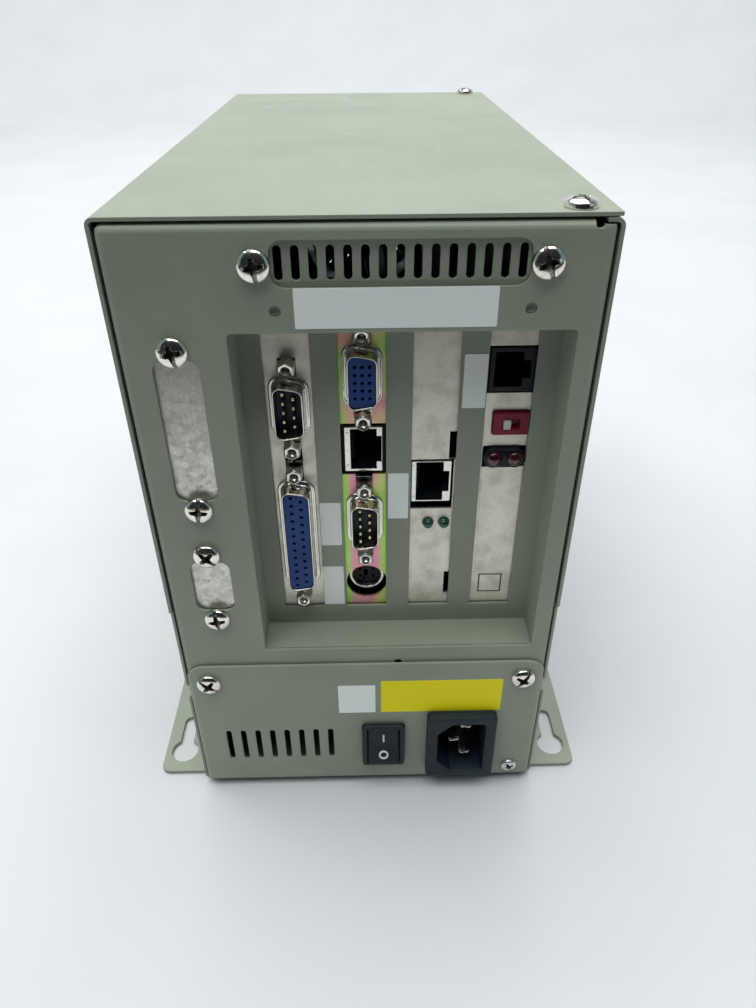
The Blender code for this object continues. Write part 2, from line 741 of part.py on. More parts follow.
def bracket(number, windows, coat, channels=()):
    """Card bracket: a strip with a tab over the ledge, a narrower foot and windows for its connectors."""
    x = SLOTS[number - 1]
    top = TAB_UNDERSIDE + BRACKET_SHEET / 2
    foot = TAB_UNDERSIDE - BRACKET_HEIGHT
    middle = BRACKET_FRONT + BRACKET_SHEET / 2
    path = [(middle, foot), (middle, top), (middle - TAB_LENGTH, top)]
    half = BRACKET_WIDTH / 2
    piece = prisms(f"card_bracket_{number}", [folded(path, BRACKET_SHEET, 0.001)], "X", x - half, x + half)
    sides = [
        (
            (x - half - SHEET, BRACKET_FRONT - SHEET, foot - SHEET),
            (x - half + FOOT_STEP, BRACKET_BACK + SHEET, SLOT_BOTTOM - 0.001),
        ),
        (
            (x + half - FOOT_STEP, BRACKET_FRONT - SHEET, foot - SHEET),
            (x + half + SHEET, BRACKET_BACK + SHEET, SLOT_BOTTOM - 0.001),
        ),
    ]
    cut(
        piece,
        boxes(f"bracket_{number}_foot", sides),
        prisms(f"bracket_{number}_windows", windows, "Y", BRACKET_FRONT - SHEET, BRACKET_BACK + SHEET),
    )
    if channels:
        outlines = [rectangle(x, (low + high) / 2, CHANNEL_WIDTH, high - low) for low, high in channels]
        slots = prisms(f"bracket_{number}_channels", outlines, "Y", BRACKET_FRONT - SHEET, BRACKET_BACK + SHEET)
        cut(piece, slots)
    finish(piece, coat)


def port_outline(x, z, length, width, grow=0.0):
    """D-shaped outline standing on end, its longer side to the left."""
    half = width / 2 + grow
    long_side = length / 2 + grow
    short_side = long_side - 2 * half * math.tan(math.radians(10))
    corners = [
        (x - half, z - long_side),
        (x + half, z - short_side),
        (x + half, z + short_side),
        (x - half, z + long_side),
    ]
    return rounded(corners, min(0.0024, half * 0.55) + grow / 2, 2)


def port_windows(x, z, length, screws):
    """The bracket's openings for a D-shaped port and its two jackscrews."""
    outline = port_outline(x, z, length, PORT_WIDE, GAP)
    return [outline] + [circle(x, z + side * screws / 2, 0.0018, 8) for side in (-1, 1)]


def port(name, x, z, length, screws, coat, cavity=0.0):
    """D-shaped port: shell and jackscrews in front of the bracket, flange and body behind it."""
    face = BRACKET_FRONT - PORT_REACH
    behind = BRACKET_BACK + GAP
    flange_half = screws / 2 + 0.0022
    piece = boxes(
        name, [((x - 0.0062, behind, z - flange_half), (x + 0.0062, behind + 0.0012, z + flange_half))]
    )
    body_half = screws / 2 - 0.0035
    body = boxes(
        f"{name}_body",
        [
            (
                (x - 0.0054, behind + 0.0006, z - body_half),
                (x + BOARD_OFFSET - GAP, behind + 0.0105, z + body_half),
            )
        ],
    )
    shell = prisms(f"{name}_shell", [port_outline(x, z, length, PORT_WIDE)], "Y", face, behind + 0.0006)
    ends = [z + side * screws / 2 for side in (-1, 1)]
    nuts = [circle(x, end, JACKSCREW_RADIUS, 6) for end in ends]
    shanks = [circle(x, end, 0.0014, 8) for end in ends]
    bores = [circle(x, end, 0.0013, 8) for end in ends]
    add(
        piece,
        body,
        shell,
        prisms(f"{name}_jack_shanks", shanks, "Y", BRACKET_FRONT - 0.001, behind + 0.0006),
        prisms(f"{name}_jack_nuts", nuts, "Y", BRACKET_FRONT - 0.0048, BRACKET_FRONT - GAP),
    )
    cut(piece, prisms(f"{name}_jack_bores", bores, "Y", face - SHEET, BRACKET_FRONT - 0.0015))
    if cavity:
        cut(
            piece,
            prisms(
                f"{name}_cavity",
                [port_outline(x, z, length, PORT_WIDE, -0.0005)],
                "Y",
                face - SHEET,
                face + cavity,
            ),
        )
    finish(piece, coat)


def socket_jack(name, x, z, width, height, latch):
    """Modular jack lying on its side: a block with a mouth and a latch slot at its right."""
    face = BRACKET_FRONT
    depth = JACK_DEPTH
    piece = boxes(
        name, [((x - width / 2, face, z - height / 2), (x + width / 2, face + depth, z + height / 2))]
    )
    mouth_half = height / 2 - 0.0016
    mouth_left = x - width / 2 + 0.0014
    mouth_right = x + width / 2 - 0.0036
    corners = [
        (mouth_left, z - mouth_half),
        (mouth_right, z - mouth_half),
        (mouth_right, z - latch / 2),
        (mouth_right + 0.0022, z - latch / 2),
        (mouth_right + 0.0022, z + latch / 2),
        (mouth_right, z + latch / 2),
        (mouth_right, z + mouth_half),
        (mouth_left, z + mouth_half),
    ]
    cut(piece, prisms(f"{name}_mouth", [corners], "Y", face - SHEET, face + depth - 0.004))
    finish(piece, BLACK_PLASTIC)


def keyboard_jack(x, z):
    """Round six-way jack set back behind its hole in the bracket: a collar on a block."""
    face = BRACKET_BACK + 0.0021
    piece = prisms("keyboard_jack", [circle(x, z, KEYBOARD_COLLAR, 20)], "Y", face, face + 0.004)
    edge = KEYBOARD_COLLAR + 0.0009
    block = ((x - edge, face + 0.0025, z - edge), (SLOTS[1] + BOARD_OFFSET - GAP, face + 0.012, z + edge))
    add(piece, boxes("keyboard_jack_block", [block]))
    cut(
        piece,
        prisms(
            "keyboard_jack_mouth", [circle(x, z, KEYBOARD_MOUTH, 20)], "Y", face - SHEET, face + 0.0075
        ),
    )
    key = ((x - 0.0012, face + 0.003, z - 0.0032), (x + 0.0012, face + 0.008, z - 0.0014))
    add(piece, boxes("keyboard_jack_key", [key]))
    finish(piece, BLACK_PLASTIC)


def lamp(name, x, z, coat):
    """Round LED that shows through the bracket, with a square foot behind it."""
    behind = BRACKET_BACK + GAP
    piece = turned(
        name,
        [
            (0, -0.0022),
            (0.0008, -0.0021),
            (0.0013, -0.0016),
            (0.0015, -0.0009),
            (0.0015, 0.0042),
            (0, 0.0042),
        ],
        (x, BRACKET_FRONT, z),
        (0, 1, 0),
        12,
    )
    add(
        piece,
        boxes(
            f"{name}_foot",
            [((x - 0.0019, behind, z - 0.0021), (x + 0.0019, behind + 0.006, z + 0.0021))],
        ),
    )
    finish(piece, coat, smooth=True)


def twin_lamp(x, z):
    """Black housing with two domed lenses side by side."""
    face = BRACKET_FRONT - 0.0016
    piece = boxes(
        "link_lamps", [((x - 0.0059, face, z - 0.0032), (x + 0.0059, BRACKET_BACK + 0.006, z + 0.0032))]
    )
    for side, label in ((-1, "left"), (1, "right")):
        dome = [
            (0, -0.0016),
            (0.0011, -0.0013),
            (0.002, -0.0005),
            (0.0023, 0.0004),
            (0.0023, 0.001),
            (0, 0.001),
        ]
        add(piece, turned(f"link_lamp_{label}_dome", dome, (x + side * 0.0031, face, z), (0, 1, 0), 12))
    finish(piece, RED_LENS, smooth=True)


def slide_switch(x, z):
    """Red slide switch: a block with a shallow window, and the slider that runs in it."""
    face = BRACKET_FRONT - 0.0014
    body = boxes(
        "slide_switch",
        [((x - 0.005, face, z - 0.0034), (x + 0.005, BRACKET_BACK + 0.0062, z + 0.0034))],
    )
    window = ((x - 0.0025, face - SHEET, z - 0.0016), (x + 0.0025, face + 0.0016, z + 0.0016))
    cut(body, boxes("slide_switch_window", [window]))
    finish(body, RED_PLASTIC)
    slider = boxes("slide_switch_slider", [((-0.001, -0.0014, -0.0013), (0.001, 0.0007, 0.0013))])
    slider.location = (x - 0.0025 + GAP + 0.001, face + 0.0006, z)
    finish(slider, WHITE_PLASTIC)


def board(name, number, chips, fingers):
    """Card with its components on the left face and a tongue that stands in its connector."""
    left = SLOTS[number - 1] + BOARD_OFFSET
    start = BRACKET_BACK + GAP
    low = connector_top() + GAP
    high = LEDGE_TOP - 0.003
    tongue_start = start + 0.024
    piece = boxes(name, [((left, start, low), (left + BOARD_THICKNESS, start + BOARD_LENGTH, high))])
    tongue = (
        (left + GAP / 6, tongue_start, low - 0.0078),
        (left + BOARD_THICKNESS - GAP / 6, tongue_start + fingers, low + 0.001),
    )
    bodies = [
        (
            (left - thick, start + y - length / 2, low + z - height / 2),
            (left + BOARD_THICKNESS / 3, start + y + length / 2, low + z + height / 2),
        )
        for y, z, length, height, thick in chips
    ]
    add(piece, boxes(f"{name}_tongue", [tongue]), boxes(f"{name}_chips", bodies))
    finish(piece, CIRCUIT_BOARD)


def connector_top():
    """Height of the card connectors' top."""
    return BACKPLANE_HEIGHT + BOARD_THICKNESS + GAP + CONNECTOR_HEIGHT


def backplane():
    """Horizontal board under the cards, on the shelf's posts."""
    low = (SLOTS[0] - 0.010, FRONT + 0.018, BACKPLANE_HEIGHT)
    high = (SLOTS[-1] + BOARD_OFFSET + 0.0065, FRONT + 0.162, BACKPLANE_HEIGHT + BOARD_THICKNESS)
    finish(boxes("backplane", [(low, high)]), CIRCUIT_BOARD)


def slot_connector(number):
    """Long edge connector on the backplane, with a slot a little wider than a board."""
    x = SLOTS[number - 1] + BOARD_OFFSET + BOARD_THICKNESS / 2
    low = BACKPLANE_HEIGHT + BOARD_THICKNESS + GAP
    start = BRACKET_BACK + GAP + 0.0225
    end = start + CONNECTOR_LENGTH
    piece = boxes(
        f"slot_connector_{number}", [((x - 0.004, start, low), (x + 0.004, end, connector_top()))]
    )
    half = BOARD_THICKNESS / 2 + GAP
    slot = ((x - half, start + 0.0012, low + 0.003), (x + half, end - 0.0012, connector_top() + SHEET))
    cut(piece, boxes(f"slot_connector_{number}_slot", [slot]))
    finish(piece, WHITE_PLASTIC if number > 1 else BLACK_PLASTIC)


def heat_sink():
    """Finned block on the processor board's main chip."""
    left = SLOTS[1] + BOARD_OFFSET - CPU_CHIP[4] - GAP
    start = BRACKET_BACK + GAP + CPU_CHIP[0] - 0.017
    low = connector_top() + GAP + CPU_CHIP[1]
    outline = [(left, start), (left, start + 0.034)]
    for fin in range(6):
        y = start + 0.034 - fin * 0.0066
        outline += [(left - 0.0065, y), (left - 0.0065, y - 0.001)]
        if fin < 5:
            outline += [(left - 0.0016, y - 0.001), (left - 0.0016, y - 0.0066)]
    outline[-1] = (left - 0.0065, start)
    finish(
        prisms("processor_heat_sink", [outline], "Z", low - 0.017, low + 0.017),
        material("black_anodised", BLACK, 0.5, 0.6),
    )


# ---------------------------------------------------------------- power bay

def mains_inlet():
    """Mains inlet on end: chamfered corners to the left, three blades, and a body behind the plate."""
    face = POWER_PLATE_FRONT - GAP - 0.0034
    flange_back = POWER_PLATE_FRONT - GAP
    floor = face + 0.0145
    outline = rectangle(INLET_X, INLET_Z, INLET_WIDTH, INLET_HEIGHT, 0.0008, 2)
    piece = prisms("mains_inlet", [outline], "Y", face, flange_back)
    body = rectangle(INLET_X, INLET_Z, INLET_CAVITY_WIDTH + 0.0026, INLET_CAVITY_HEIGHT + 0.0026)
    half_width = INLET_CAVITY_WIDTH / 2
    half_height = INLET_CAVITY_HEIGHT / 2
    chamfer = 0.005
    cavity = rounded(
        [
            (INLET_X - half_width + chamfer, INLET_Z - half_height),
            (INLET_X + half_width, INLET_Z - half_height),
            (INLET_X + half_width, INLET_Z + half_height),
            (INLET_X - half_width + chamfer, INLET_Z + half_height),
            (INLET_X - half_width, INLET_Z + half_height - chamfer),
            (INLET_X - half_width, INLET_Z - half_height + chamfer),
        ],
        0.0008,
        2,
    )
    blades = [
        (INLET_X - 0.002, INLET_Z),
        (INLET_X + 0.002, INLET_Z + 0.007),
        (INLET_X + 0.002, INLET_Z - 0.007),
    ]
    pins = [
        ((x - 0.002, face + 0.0055, z - 0.001), (x + 0.002, floor + 0.008, z + 0.001))
        for x, z in blades
    ]
    add(piece, prisms("inlet_body", [body], "Y", flange_back - 0.001, floor + 0.0015))
    cut(piece, prisms("inlet_cavity", [cavity], "Y", face - SHEET, floor))
    add(piece, boxes("inlet_blades", pins))
    finish(piece, BLACK_PLASTIC)


def power_switch():
    """Rocker switch: bezel and body, and the rocker, whose object sits on its pin's axis."""
    face = POWER_PLATE_FRONT - GAP - 0.0018
    back = POWER_PLATE_FRONT - GAP
    pivot = face + 0.0041
    outline = rectangle(SWITCH_X, SWITCH_Z, SWITCH_WIDTH, SWITCH_HEIGHT, 0.0008, 2)
    body = prisms("power_switch", [outline], "Y", face, back)
    case = rectangle(SWITCH_X, SWITCH_Z, SWITCH_WIDTH - 0.002, SWITCH_HEIGHT - SWITCH_RIM)
    add(body, prisms("switch_case", [case], "Y", back - 0.001, back + 0.0135))
    well = rectangle(SWITCH_X, SWITCH_Z, ROCKER_WIDTH + 2 * GAP, ROCKER_HEIGHT + 0.0017)
    cut(body, prisms("switch_well", [well], "Y", face - SHEET, pivot + 0.006))
    tabs = [
        ((SWITCH_X - 0.0024, back + 0.013, z - 0.0004), (SWITCH_X + 0.0024, back + 0.02, z + 0.0004))
        for z in (SWITCH_Z - 0.004, SWITCH_Z + 0.004)
    ]
    add(body, boxes("switch_tabs", tabs))
    finish(body, BLACK_PLASTIC)

    half = ROCKER_HEIGHT / 2
    profile = [
        (-0.0045, -half),
        (0.0006, -half),
        (0.0042, -0.0035),
        (0.0042, 0.0035),
        (0.0006, half),
        (-0.0045, half),
        (-0.0036, half * 0.55),
        (-0.0031, 0),
        (-0.0036, -half * 0.55),
    ]
    rocker = prisms("switch_rocker", [profile], "X", -ROCKER_WIDTH / 2, ROCKER_WIDTH / 2)
    rocker.location = (SWITCH_X, pivot, SWITCH_Z)
    rocker.rotation_euler = (-ROCKER_TILT, 0, 0)
    finish(rocker, BLACK_PLASTIC)


def power_supply():
    """Board on four posts with a transformer, a capacitor and a heat sink."""
    low = TRAY_FLOOR + GAP
    top = low + 0.0065
    left = -HALF_WIDTH + 0.011
    right = HALF_WIDTH - 0.012
    start = FRONT + 0.032
    end = BACK - 0.04
    piece = boxes("power_board", [((left, start, top - BOARD_THICKNESS), (right, end, top))])
    posts = [
        circle(x, y, 0.003, 10)
        for x in (left + 0.005, right - 0.005)
        for y in (start + 0.005, end - 0.005)
    ]
    add(piece, prisms("power_board_posts", posts, "Z", low, top - BOARD_THICKNESS / 2))
    finish(piece, CIRCUIT_BOARD)

    seat = top + GAP
    core = boxes(
        "power_transformer",
        [((right - 0.047, end - 0.05, seat), (right - 0.013, end - 0.022, seat + 0.028))],
    )
    wound = boxes(
        "transformer_winding",
        [((right - 0.043, end - 0.054, seat + 0.004), (right - 0.017, end - 0.018, seat + 0.024))],
    )
    add(core, wound)
    finish(core, TRANSFORMER)

    can = [(0, 0), (0.011, 0), (0.011, 0.028), (0.0104, 0.0288), (0, 0.0288)]
    finish(
        turned("power_capacitor", can, (left + 0.016, end - 0.03, seat), (0, 0, 1), 18),
        BLACK_PLASTIC,
        smooth=True,
    )

    fins = [(left + 0.004, seat), (left + 0.034, seat)]
    for fin in range(5):
        x = left + 0.034 - fin * 0.0072
        fins += [(x, seat + 0.024), (x - 0.0012, seat + 0.024)]
        if fin < 4:
            fins += [(x - 0.0012, seat + 0.003), (x - 0.0072, seat + 0.003)]
    fins[-1] = (left + 0.004, seat + 0.024)
    finish(
        prisms("power_heat_sink", [fins], "Y", start + 0.012, start + 0.062),
        material("aluminium", ZINC, 0.4, 1.0),
    )


# ---------------------------------------------------------------- fan and screws

def fan():
    """Square fan frame behind the rear grille, and the rotor on its stub shaft."""
    front = FAN_Y - FAN_DEPTH / 2
    back = FAN_Y + FAN_DEPTH / 2
    frame = prisms("fan_frame", [rectangle(FAN_X, FAN_Z, FAN_SIZE, FAN_SIZE, 0.003, 2)], "Y", front, back)
    bore = FAN_SIZE / 2 - 0.0015
    corner = FAN_SIZE / 2 - 0.005
    holes = [
        circle(FAN_X + side * corner, FAN_Z + end * corner, SCREW_HOLE, 8)
        for side in (-1, 1)
        for end in (-1, 1)
    ]
    cut(
        frame,
        prisms("fan_bore", [circle(FAN_X, FAN_Z, bore, 32)], "Y", front - SHEET, back + SHEET),
        prisms("fan_corner_holes", holes, "Y", front - SHEET, back + SHEET),
    )
    hub = turned(
        "fan_motor_base",
        [(0, 0), (0.013, 0), (0.013, 0.0025), (0.0016, 0.0025), (0.0016, 0.012), (0, 0.012)],
        (FAN_X, back - 0.0003, FAN_Z),
        (0, -1, 0),
        20,
    )
    reach = bore + 0.0006
    upright = (
        (FAN_X - 0.0015, back - 0.0022, FAN_Z - reach), (FAN_X + 0.0015, back - 0.0008, FAN_Z + reach)
    )
    level = (
        (FAN_X - reach, back - 0.0020, FAN_Z - 0.0015), (FAN_X + reach, back - 0.0010, FAN_Z + 0.0015)
    )
    add(frame, hub, boxes("fan_strut_upright", [upright]), boxes("fan_strut_level", [level]))
    finish(frame, BLACK_PLASTIC)

    hub_radius = 0.0125
    rear = FAN_DEPTH / 2 - 0.0031
    rotor = turned(
        "fan_rotor",
        [
            (0, -0.0085),
            (0.0115, -0.0085),
            (hub_radius, -0.0075),
            (hub_radius, rear),
            (0.0019, rear),
            (0.0019, -0.0025),
            (0, -0.0025),
        ],
        (0, 0, 0),
        (0, 1, 0),
        28,
    )
    shape = bmesh.new()
    tip = bore - 0.001
    for blade in range(FAN_BLADES):
        middle = math.tau * blade / FAN_BLADES
        rings = []
        for radius, sweep, lean in ((hub_radius - 0.001, 0.3, 0.9), (0.019, 0.33, 0.75), (tip, 0.36, 0.6)):
            ring = []
            for end, lift in ((-1, -0.0004), (1, -0.0004), (1, 0.0004), (-1, 0.0004)):
                turn = middle + end * sweep
                depth = -0.0002 + end * 0.0072 * lean + lift
                ring.append(shape.verts.new((radius * math.cos(turn), depth, radius * math.sin(turn))))
            rings.append(ring)
        shape.faces.new(rings[0])
        shape.faces.new(rings[-1][::-1])
        for inner, outer in zip(rings, rings[1:]):
            for index in range(4):
                following = (index + 1) % 4
                shape.faces.new((inner[index], outer[index], outer[following], inner[following]))
    blades = place("fan_blades", shape)
    add(rotor, blades)
    for piece in (rotor, blades):
        piece.location = (FAN_X, FAN_Y, FAN_Z)
    finish(rotor, BLACK_PLASTIC)


def front_screws():
    """The (x, z) places of the screws through the front panel above the power bay."""
    half_vent = VENT_SCREW_SPAN / 2
    return [
        (VENT_X - half_vent, VENT_Z),
        (VENT_X + half_vent, VENT_Z),
        (PORT_X, LARGE_PORT_Z + LARGE_PORT_SCREWS / 2),
        (PORT_X, LARGE_PORT_Z - LARGE_PORT_SCREWS / 2),
        (PORT_X, SMALL_PORT_Z + SMALL_PORT_SCREWS / 2),
        (PORT_X, SMALL_PORT_Z - SMALL_PORT_SCREWS / 2),
    ]


def cover_screws():
    """The (x, y) places of the two screws down through the cover into the panels' top flanges."""
    x = POCKET_RIGHT - 0.0021
    return [(x, FRONT + 0.006), (x, BACK - 0.006)]


def screw(name, seat, outward, length):
    """Pan-head screw whose head stands a gap off the seat, outward, and whose shank runs the other way."""
    head = SCREW_HEAD_RADIUS
    tall = SCREW_HEAD_HEIGHT
    profile = [
        (0, -length),
        (SCREW_RADIUS, -length),
        (SCREW_RADIUS, GAP),
        (head, GAP),
        (head, GAP + tall * 0.35),
        (head * 0.86, GAP + tall * 0.72),
        (head * 0.5, GAP + tall * 0.95),
        (0, GAP + tall),
    ]
    finish(turned(name, profile, seat, outward), NICKEL_PLATE, smooth=True)


def screws():
    """All the screws that show."""
    names = ["vent_screw_left", "vent_screw_right", "large_blank_screw_top", "large_blank_screw_bottom"]
    names += ["small_blank_screw_top", "small_blank_screw_bottom"]
    for name, (x, z) in zip(names, front_screws()):
        screw(name, (x, FRONT, z), (0, -1, 0), 0.005)
    screw("power_plate_screw_left", (-POWER_SCREW_X, POWER_PLATE_FRONT, POWER_SCREW_Z), (0, -1, 0), 0.005)
    screw("power_plate_screw_right", (POWER_SCREW_X, POWER_PLATE_FRONT, POWER_SCREW_Z), (0, -1, 0), 0.005)
    screw("ground_screw", (GROUND_X, POWER_PLATE_FRONT, GROUND_Z), (0, -1, 0), 0.005)
    for name, (x, y) in zip(("cover_screw_front", "cover_screw_rear"), cover_screws()):
        screw(name, (x, y, CASE_HEIGHT), (0, 0, 1), 0.005)


# ---------------------------------------------------------------- the whole object

# Connector heights, down from the brackets' ledge
SERIAL_1_Z = TAB_UNDERSIDE - 0.0331
PARALLEL_Z = TAB_UNDERSIDE - 0.0773
VIDEO_Z = TAB_UNDERSIDE - 0.0241
NETWORK_1_Z = TAB_UNDERSIDE - 0.0473
SERIAL_2_Z = TAB_UNDERSIDE - 0.0719
KEYBOARD_Z = TAB_UNDERSIDE - 0.0971
NETWORK_2_Z = TAB_UNDERSIDE - 0.0587
LAMPS_Z = TAB_UNDERSIDE - 0.0736
LINK_JACK_Z = TAB_UNDERSIDE - 0.0230
SLIDE_SWITCH_Z = TAB_UNDERSIDE - 0.0391
LINK_LAMPS_Z = TAB_UNDERSIDE - 0.0503
KEYBOARD_X = SLOTS[1] + 0.0002
NINE_LENGTH = 0.0169
NINE_SCREWS = 0.02499
WIDE_LENGTH = 0.0383
WIDE_SCREWS = 0.04704
NETWORK_2_X = SLOTS[2] - 0.0004
LINK_X = SLOTS[3] + 0.0003
SLIDE_X = SLOTS[3] + 0.0012
CPU_CHIP = (0.075, 0.055, 0.036, 0.036, 0.0030)


def cards():
    """Brackets, their connectors, the boards, the backplane and its edge connectors."""
    windows = port_windows(SLOTS[0], SERIAL_1_Z, NINE_LENGTH, NINE_SCREWS)
    windows += port_windows(SLOTS[0], PARALLEL_Z, WIDE_LENGTH, WIDE_SCREWS)
    nine = NINE_LENGTH / 2 - CHANNEL_LAP
    wide = WIDE_LENGTH / 2 - CHANNEL_LAP
    nine_end = NINE_SCREWS / 2 + CHANNEL_END
    wide_end = WIDE_SCREWS / 2 + CHANNEL_END
    channels = [
        (SERIAL_1_Z + nine, SERIAL_1_Z + nine_end),
        (PARALLEL_Z + wide, SERIAL_1_Z - nine),
        (PARALLEL_Z - wide_end, PARALLEL_Z - wide),
    ]
    bracket(1, windows, ZINC_PLATE, channels)
    port("serial_port_1", SLOTS[0], SERIAL_1_Z, NINE_LENGTH, NINE_SCREWS, NICKEL_PLATE, cavity=0.005)
    port("parallel_port", SLOTS[0], PARALLEL_Z, WIDE_LENGTH, WIDE_SCREWS, BLUE_PLASTIC)

    windows = port_windows(SLOTS[1], VIDEO_Z, NINE_LENGTH, NINE_SCREWS)
    windows += port_windows(SLOTS[1], SERIAL_2_Z, NINE_LENGTH, NINE_SCREWS)
    windows += [
        rectangle(SLOTS[1], NETWORK_1_Z, 0.0135, 0.0169),
        circle(KEYBOARD_X, KEYBOARD_Z, KEYBOARD_COLLAR + 0.0007, 20),
    ]
    channels = [
        (VIDEO_Z + nine, VIDEO_Z + nine_end),
        (NETWORK_1_Z + CHANNEL_REACH, VIDEO_Z - nine),
        (SERIAL_2_Z + nine, NETWORK_1_Z - CHANNEL_REACH),
        (SERIAL_2_Z - nine_end, SERIAL_2_Z - nine),
    ]
    bracket(2, windows, CHROMATED, channels)
    port("video_port", SLOTS[1], VIDEO_Z, NINE_LENGTH, NINE_SCREWS, BLUE_PLASTIC)
    port("serial_port_2", SLOTS[1], SERIAL_2_Z, NINE_LENGTH, NINE_SCREWS, NICKEL_PLATE, cavity=0.005)
    socket_jack("network_jack_1", SLOTS[1], NETWORK_1_Z, 0.0129, 0.0163, 0.006)
    keyboard_jack(KEYBOARD_X, KEYBOARD_Z)

    windows = [
        rectangle(NETWORK_2_X, NETWORK_2_Z - 0.0011, 0.0131, 0.0174),
        rectangle(SLOTS[2] + 0.0058, POCKET_BOTTOM + 0.067, 0.0024, 0.0092),
    ]
    windows += [circle(SLOTS[2] + step, LAMPS_Z, 0.0018, 10) for step in (-0.0009, 0.004)]
    windows += [rectangle(SLOTS[2] + 0.0062, SLOT_BOTTOM + 0.0085, 0.0024, 0.009)]
    bracket(3, windows, ZINC_PLATE)
    socket_jack("network_jack_2", NETWORK_2_X, NETWORK_2_Z, 0.0125, 0.0146, 0.006)
    lamp("network_lamp_left", SLOTS[2] - 0.0009, LAMPS_Z, GREEN_LENS)
    lamp("network_lamp_right", SLOTS[2] + 0.004, LAMPS_Z, GREEN_LENS)

    windows = [
        rectangle(LINK_X, LINK_JACK_Z, 0.0132, 0.0138),
        rectangle(SLIDE_X, SLIDE_SWITCH_Z, 0.0106, 0.0074),
    ]
    windows += [rectangle(LINK_X, LINK_LAMPS_Z, 0.0124, 0.007)]
    bracket(4, windows, ZINC_PLATE)
    socket_jack("link_jack", LINK_X, LINK_JACK_Z, 0.0126, 0.0132, 0.005)
    slide_switch(SLIDE_X, SLIDE_SWITCH_Z)
    twin_lamp(LINK_X, LINK_LAMPS_Z)

    backplane()
    for number in range(1, SLOT_COUNT + 1):
        slot_connector(number)
    memory = [(0.13, 0.03 + 0.024 * row, 0.02, 0.012, 0.0016) for row in range(3)]
    board("processor_board", 2, [CPU_CHIP] + memory, CONNECTOR_LENGTH - 0.003)
    board(
        "network_board",
        3,
        [(0.06, 0.05, 0.022, 0.022, 0.002), (0.095, 0.05, 0.014, 0.01, 0.002)],
        CONNECTOR_LENGTH - 0.003,
    )
    board(
        "link_board",
        4,
        [(0.05, 0.06, 0.024, 0.024, 0.003), (0.09, 0.04, 0.03, 0.014, 0.004)],
        CONNECTOR_LENGTH - 0.003,
    )
    heat_sink()


mounting_plate()
base_tray()
card_shelf()
front_panel()
rear_panel()
slot_pocket()
cover()
right_side_panel()
card_clamp()
power_cover_plate()
port_blank("large_port_blank", LARGE_PORT_Z, LARGE_PORT_SCREWS + 0.009, LARGE_PORT_SCREWS)
port_blank("small_port_blank", SMALL_PORT_Z, SMALL_PORT_SCREWS + 0.009, SMALL_PORT_SCREWS)
cards()
mains_inlet()
power_switch()
power_supply()
fan()
screws()
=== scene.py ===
import json
import math
import bmesh
import bpy
import numpy as np
from mathutils import Matrix, Vector
from mathutils.geometry import tessellate_polygon

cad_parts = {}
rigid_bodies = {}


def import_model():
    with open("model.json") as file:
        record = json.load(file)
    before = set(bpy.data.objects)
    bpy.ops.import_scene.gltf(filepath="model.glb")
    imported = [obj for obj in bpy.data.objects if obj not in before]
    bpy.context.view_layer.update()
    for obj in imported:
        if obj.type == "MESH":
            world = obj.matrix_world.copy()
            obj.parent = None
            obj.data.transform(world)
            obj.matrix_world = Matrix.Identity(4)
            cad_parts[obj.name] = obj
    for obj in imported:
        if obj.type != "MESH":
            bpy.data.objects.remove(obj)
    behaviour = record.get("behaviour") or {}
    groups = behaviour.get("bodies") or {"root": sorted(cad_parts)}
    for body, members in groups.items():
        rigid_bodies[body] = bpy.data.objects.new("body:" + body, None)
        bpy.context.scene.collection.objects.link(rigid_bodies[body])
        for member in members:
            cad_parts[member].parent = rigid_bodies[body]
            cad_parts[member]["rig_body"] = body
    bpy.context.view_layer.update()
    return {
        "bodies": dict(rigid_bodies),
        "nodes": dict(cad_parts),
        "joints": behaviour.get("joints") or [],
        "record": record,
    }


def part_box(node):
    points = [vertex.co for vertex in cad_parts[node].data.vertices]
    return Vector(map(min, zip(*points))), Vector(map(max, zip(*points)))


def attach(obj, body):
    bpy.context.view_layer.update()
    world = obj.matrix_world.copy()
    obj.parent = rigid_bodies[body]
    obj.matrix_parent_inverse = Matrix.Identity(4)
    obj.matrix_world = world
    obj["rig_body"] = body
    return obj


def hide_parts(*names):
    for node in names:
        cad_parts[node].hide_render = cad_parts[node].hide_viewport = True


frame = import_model()
nodes = frame["nodes"]
scene = bpy.context.scene
mm = 0.001
print("frame loaded:", len(nodes), "pieces")


class Wire:
    # one socket of a node tree; sums and products of wires add their own Math nodes
    def __init__(self, finish, socket):
        self.finish = finish
        self.socket = socket

    def maths(self, operation, *others):
        return self.finish.node("ShaderNodeMath", {"operation": operation}, dict(enumerate((self,) + others)))

    def __add__(self, other):
        return self.maths("ADD", other)

    def __sub__(self, other):
        return self.maths("SUBTRACT", other)

    def __mul__(self, other):
        return self.maths("MULTIPLY", other)

    def __rsub__(self, other):
        return self.finish.node("ShaderNodeMath", {"operation": "SUBTRACT"}, {0: other, 1: self})

    __radd__ = __add__
    __rmul__ = __mul__

    def step(self, low, high):
        # 0 below low, 1 above high and a smooth rise between them
        return self.finish.node(
            "ShaderNodeMapRange",
            {"interpolation_type": "SMOOTHSTEP"},
            {"Value": self, "From Min": low, "From Max": high},
        )


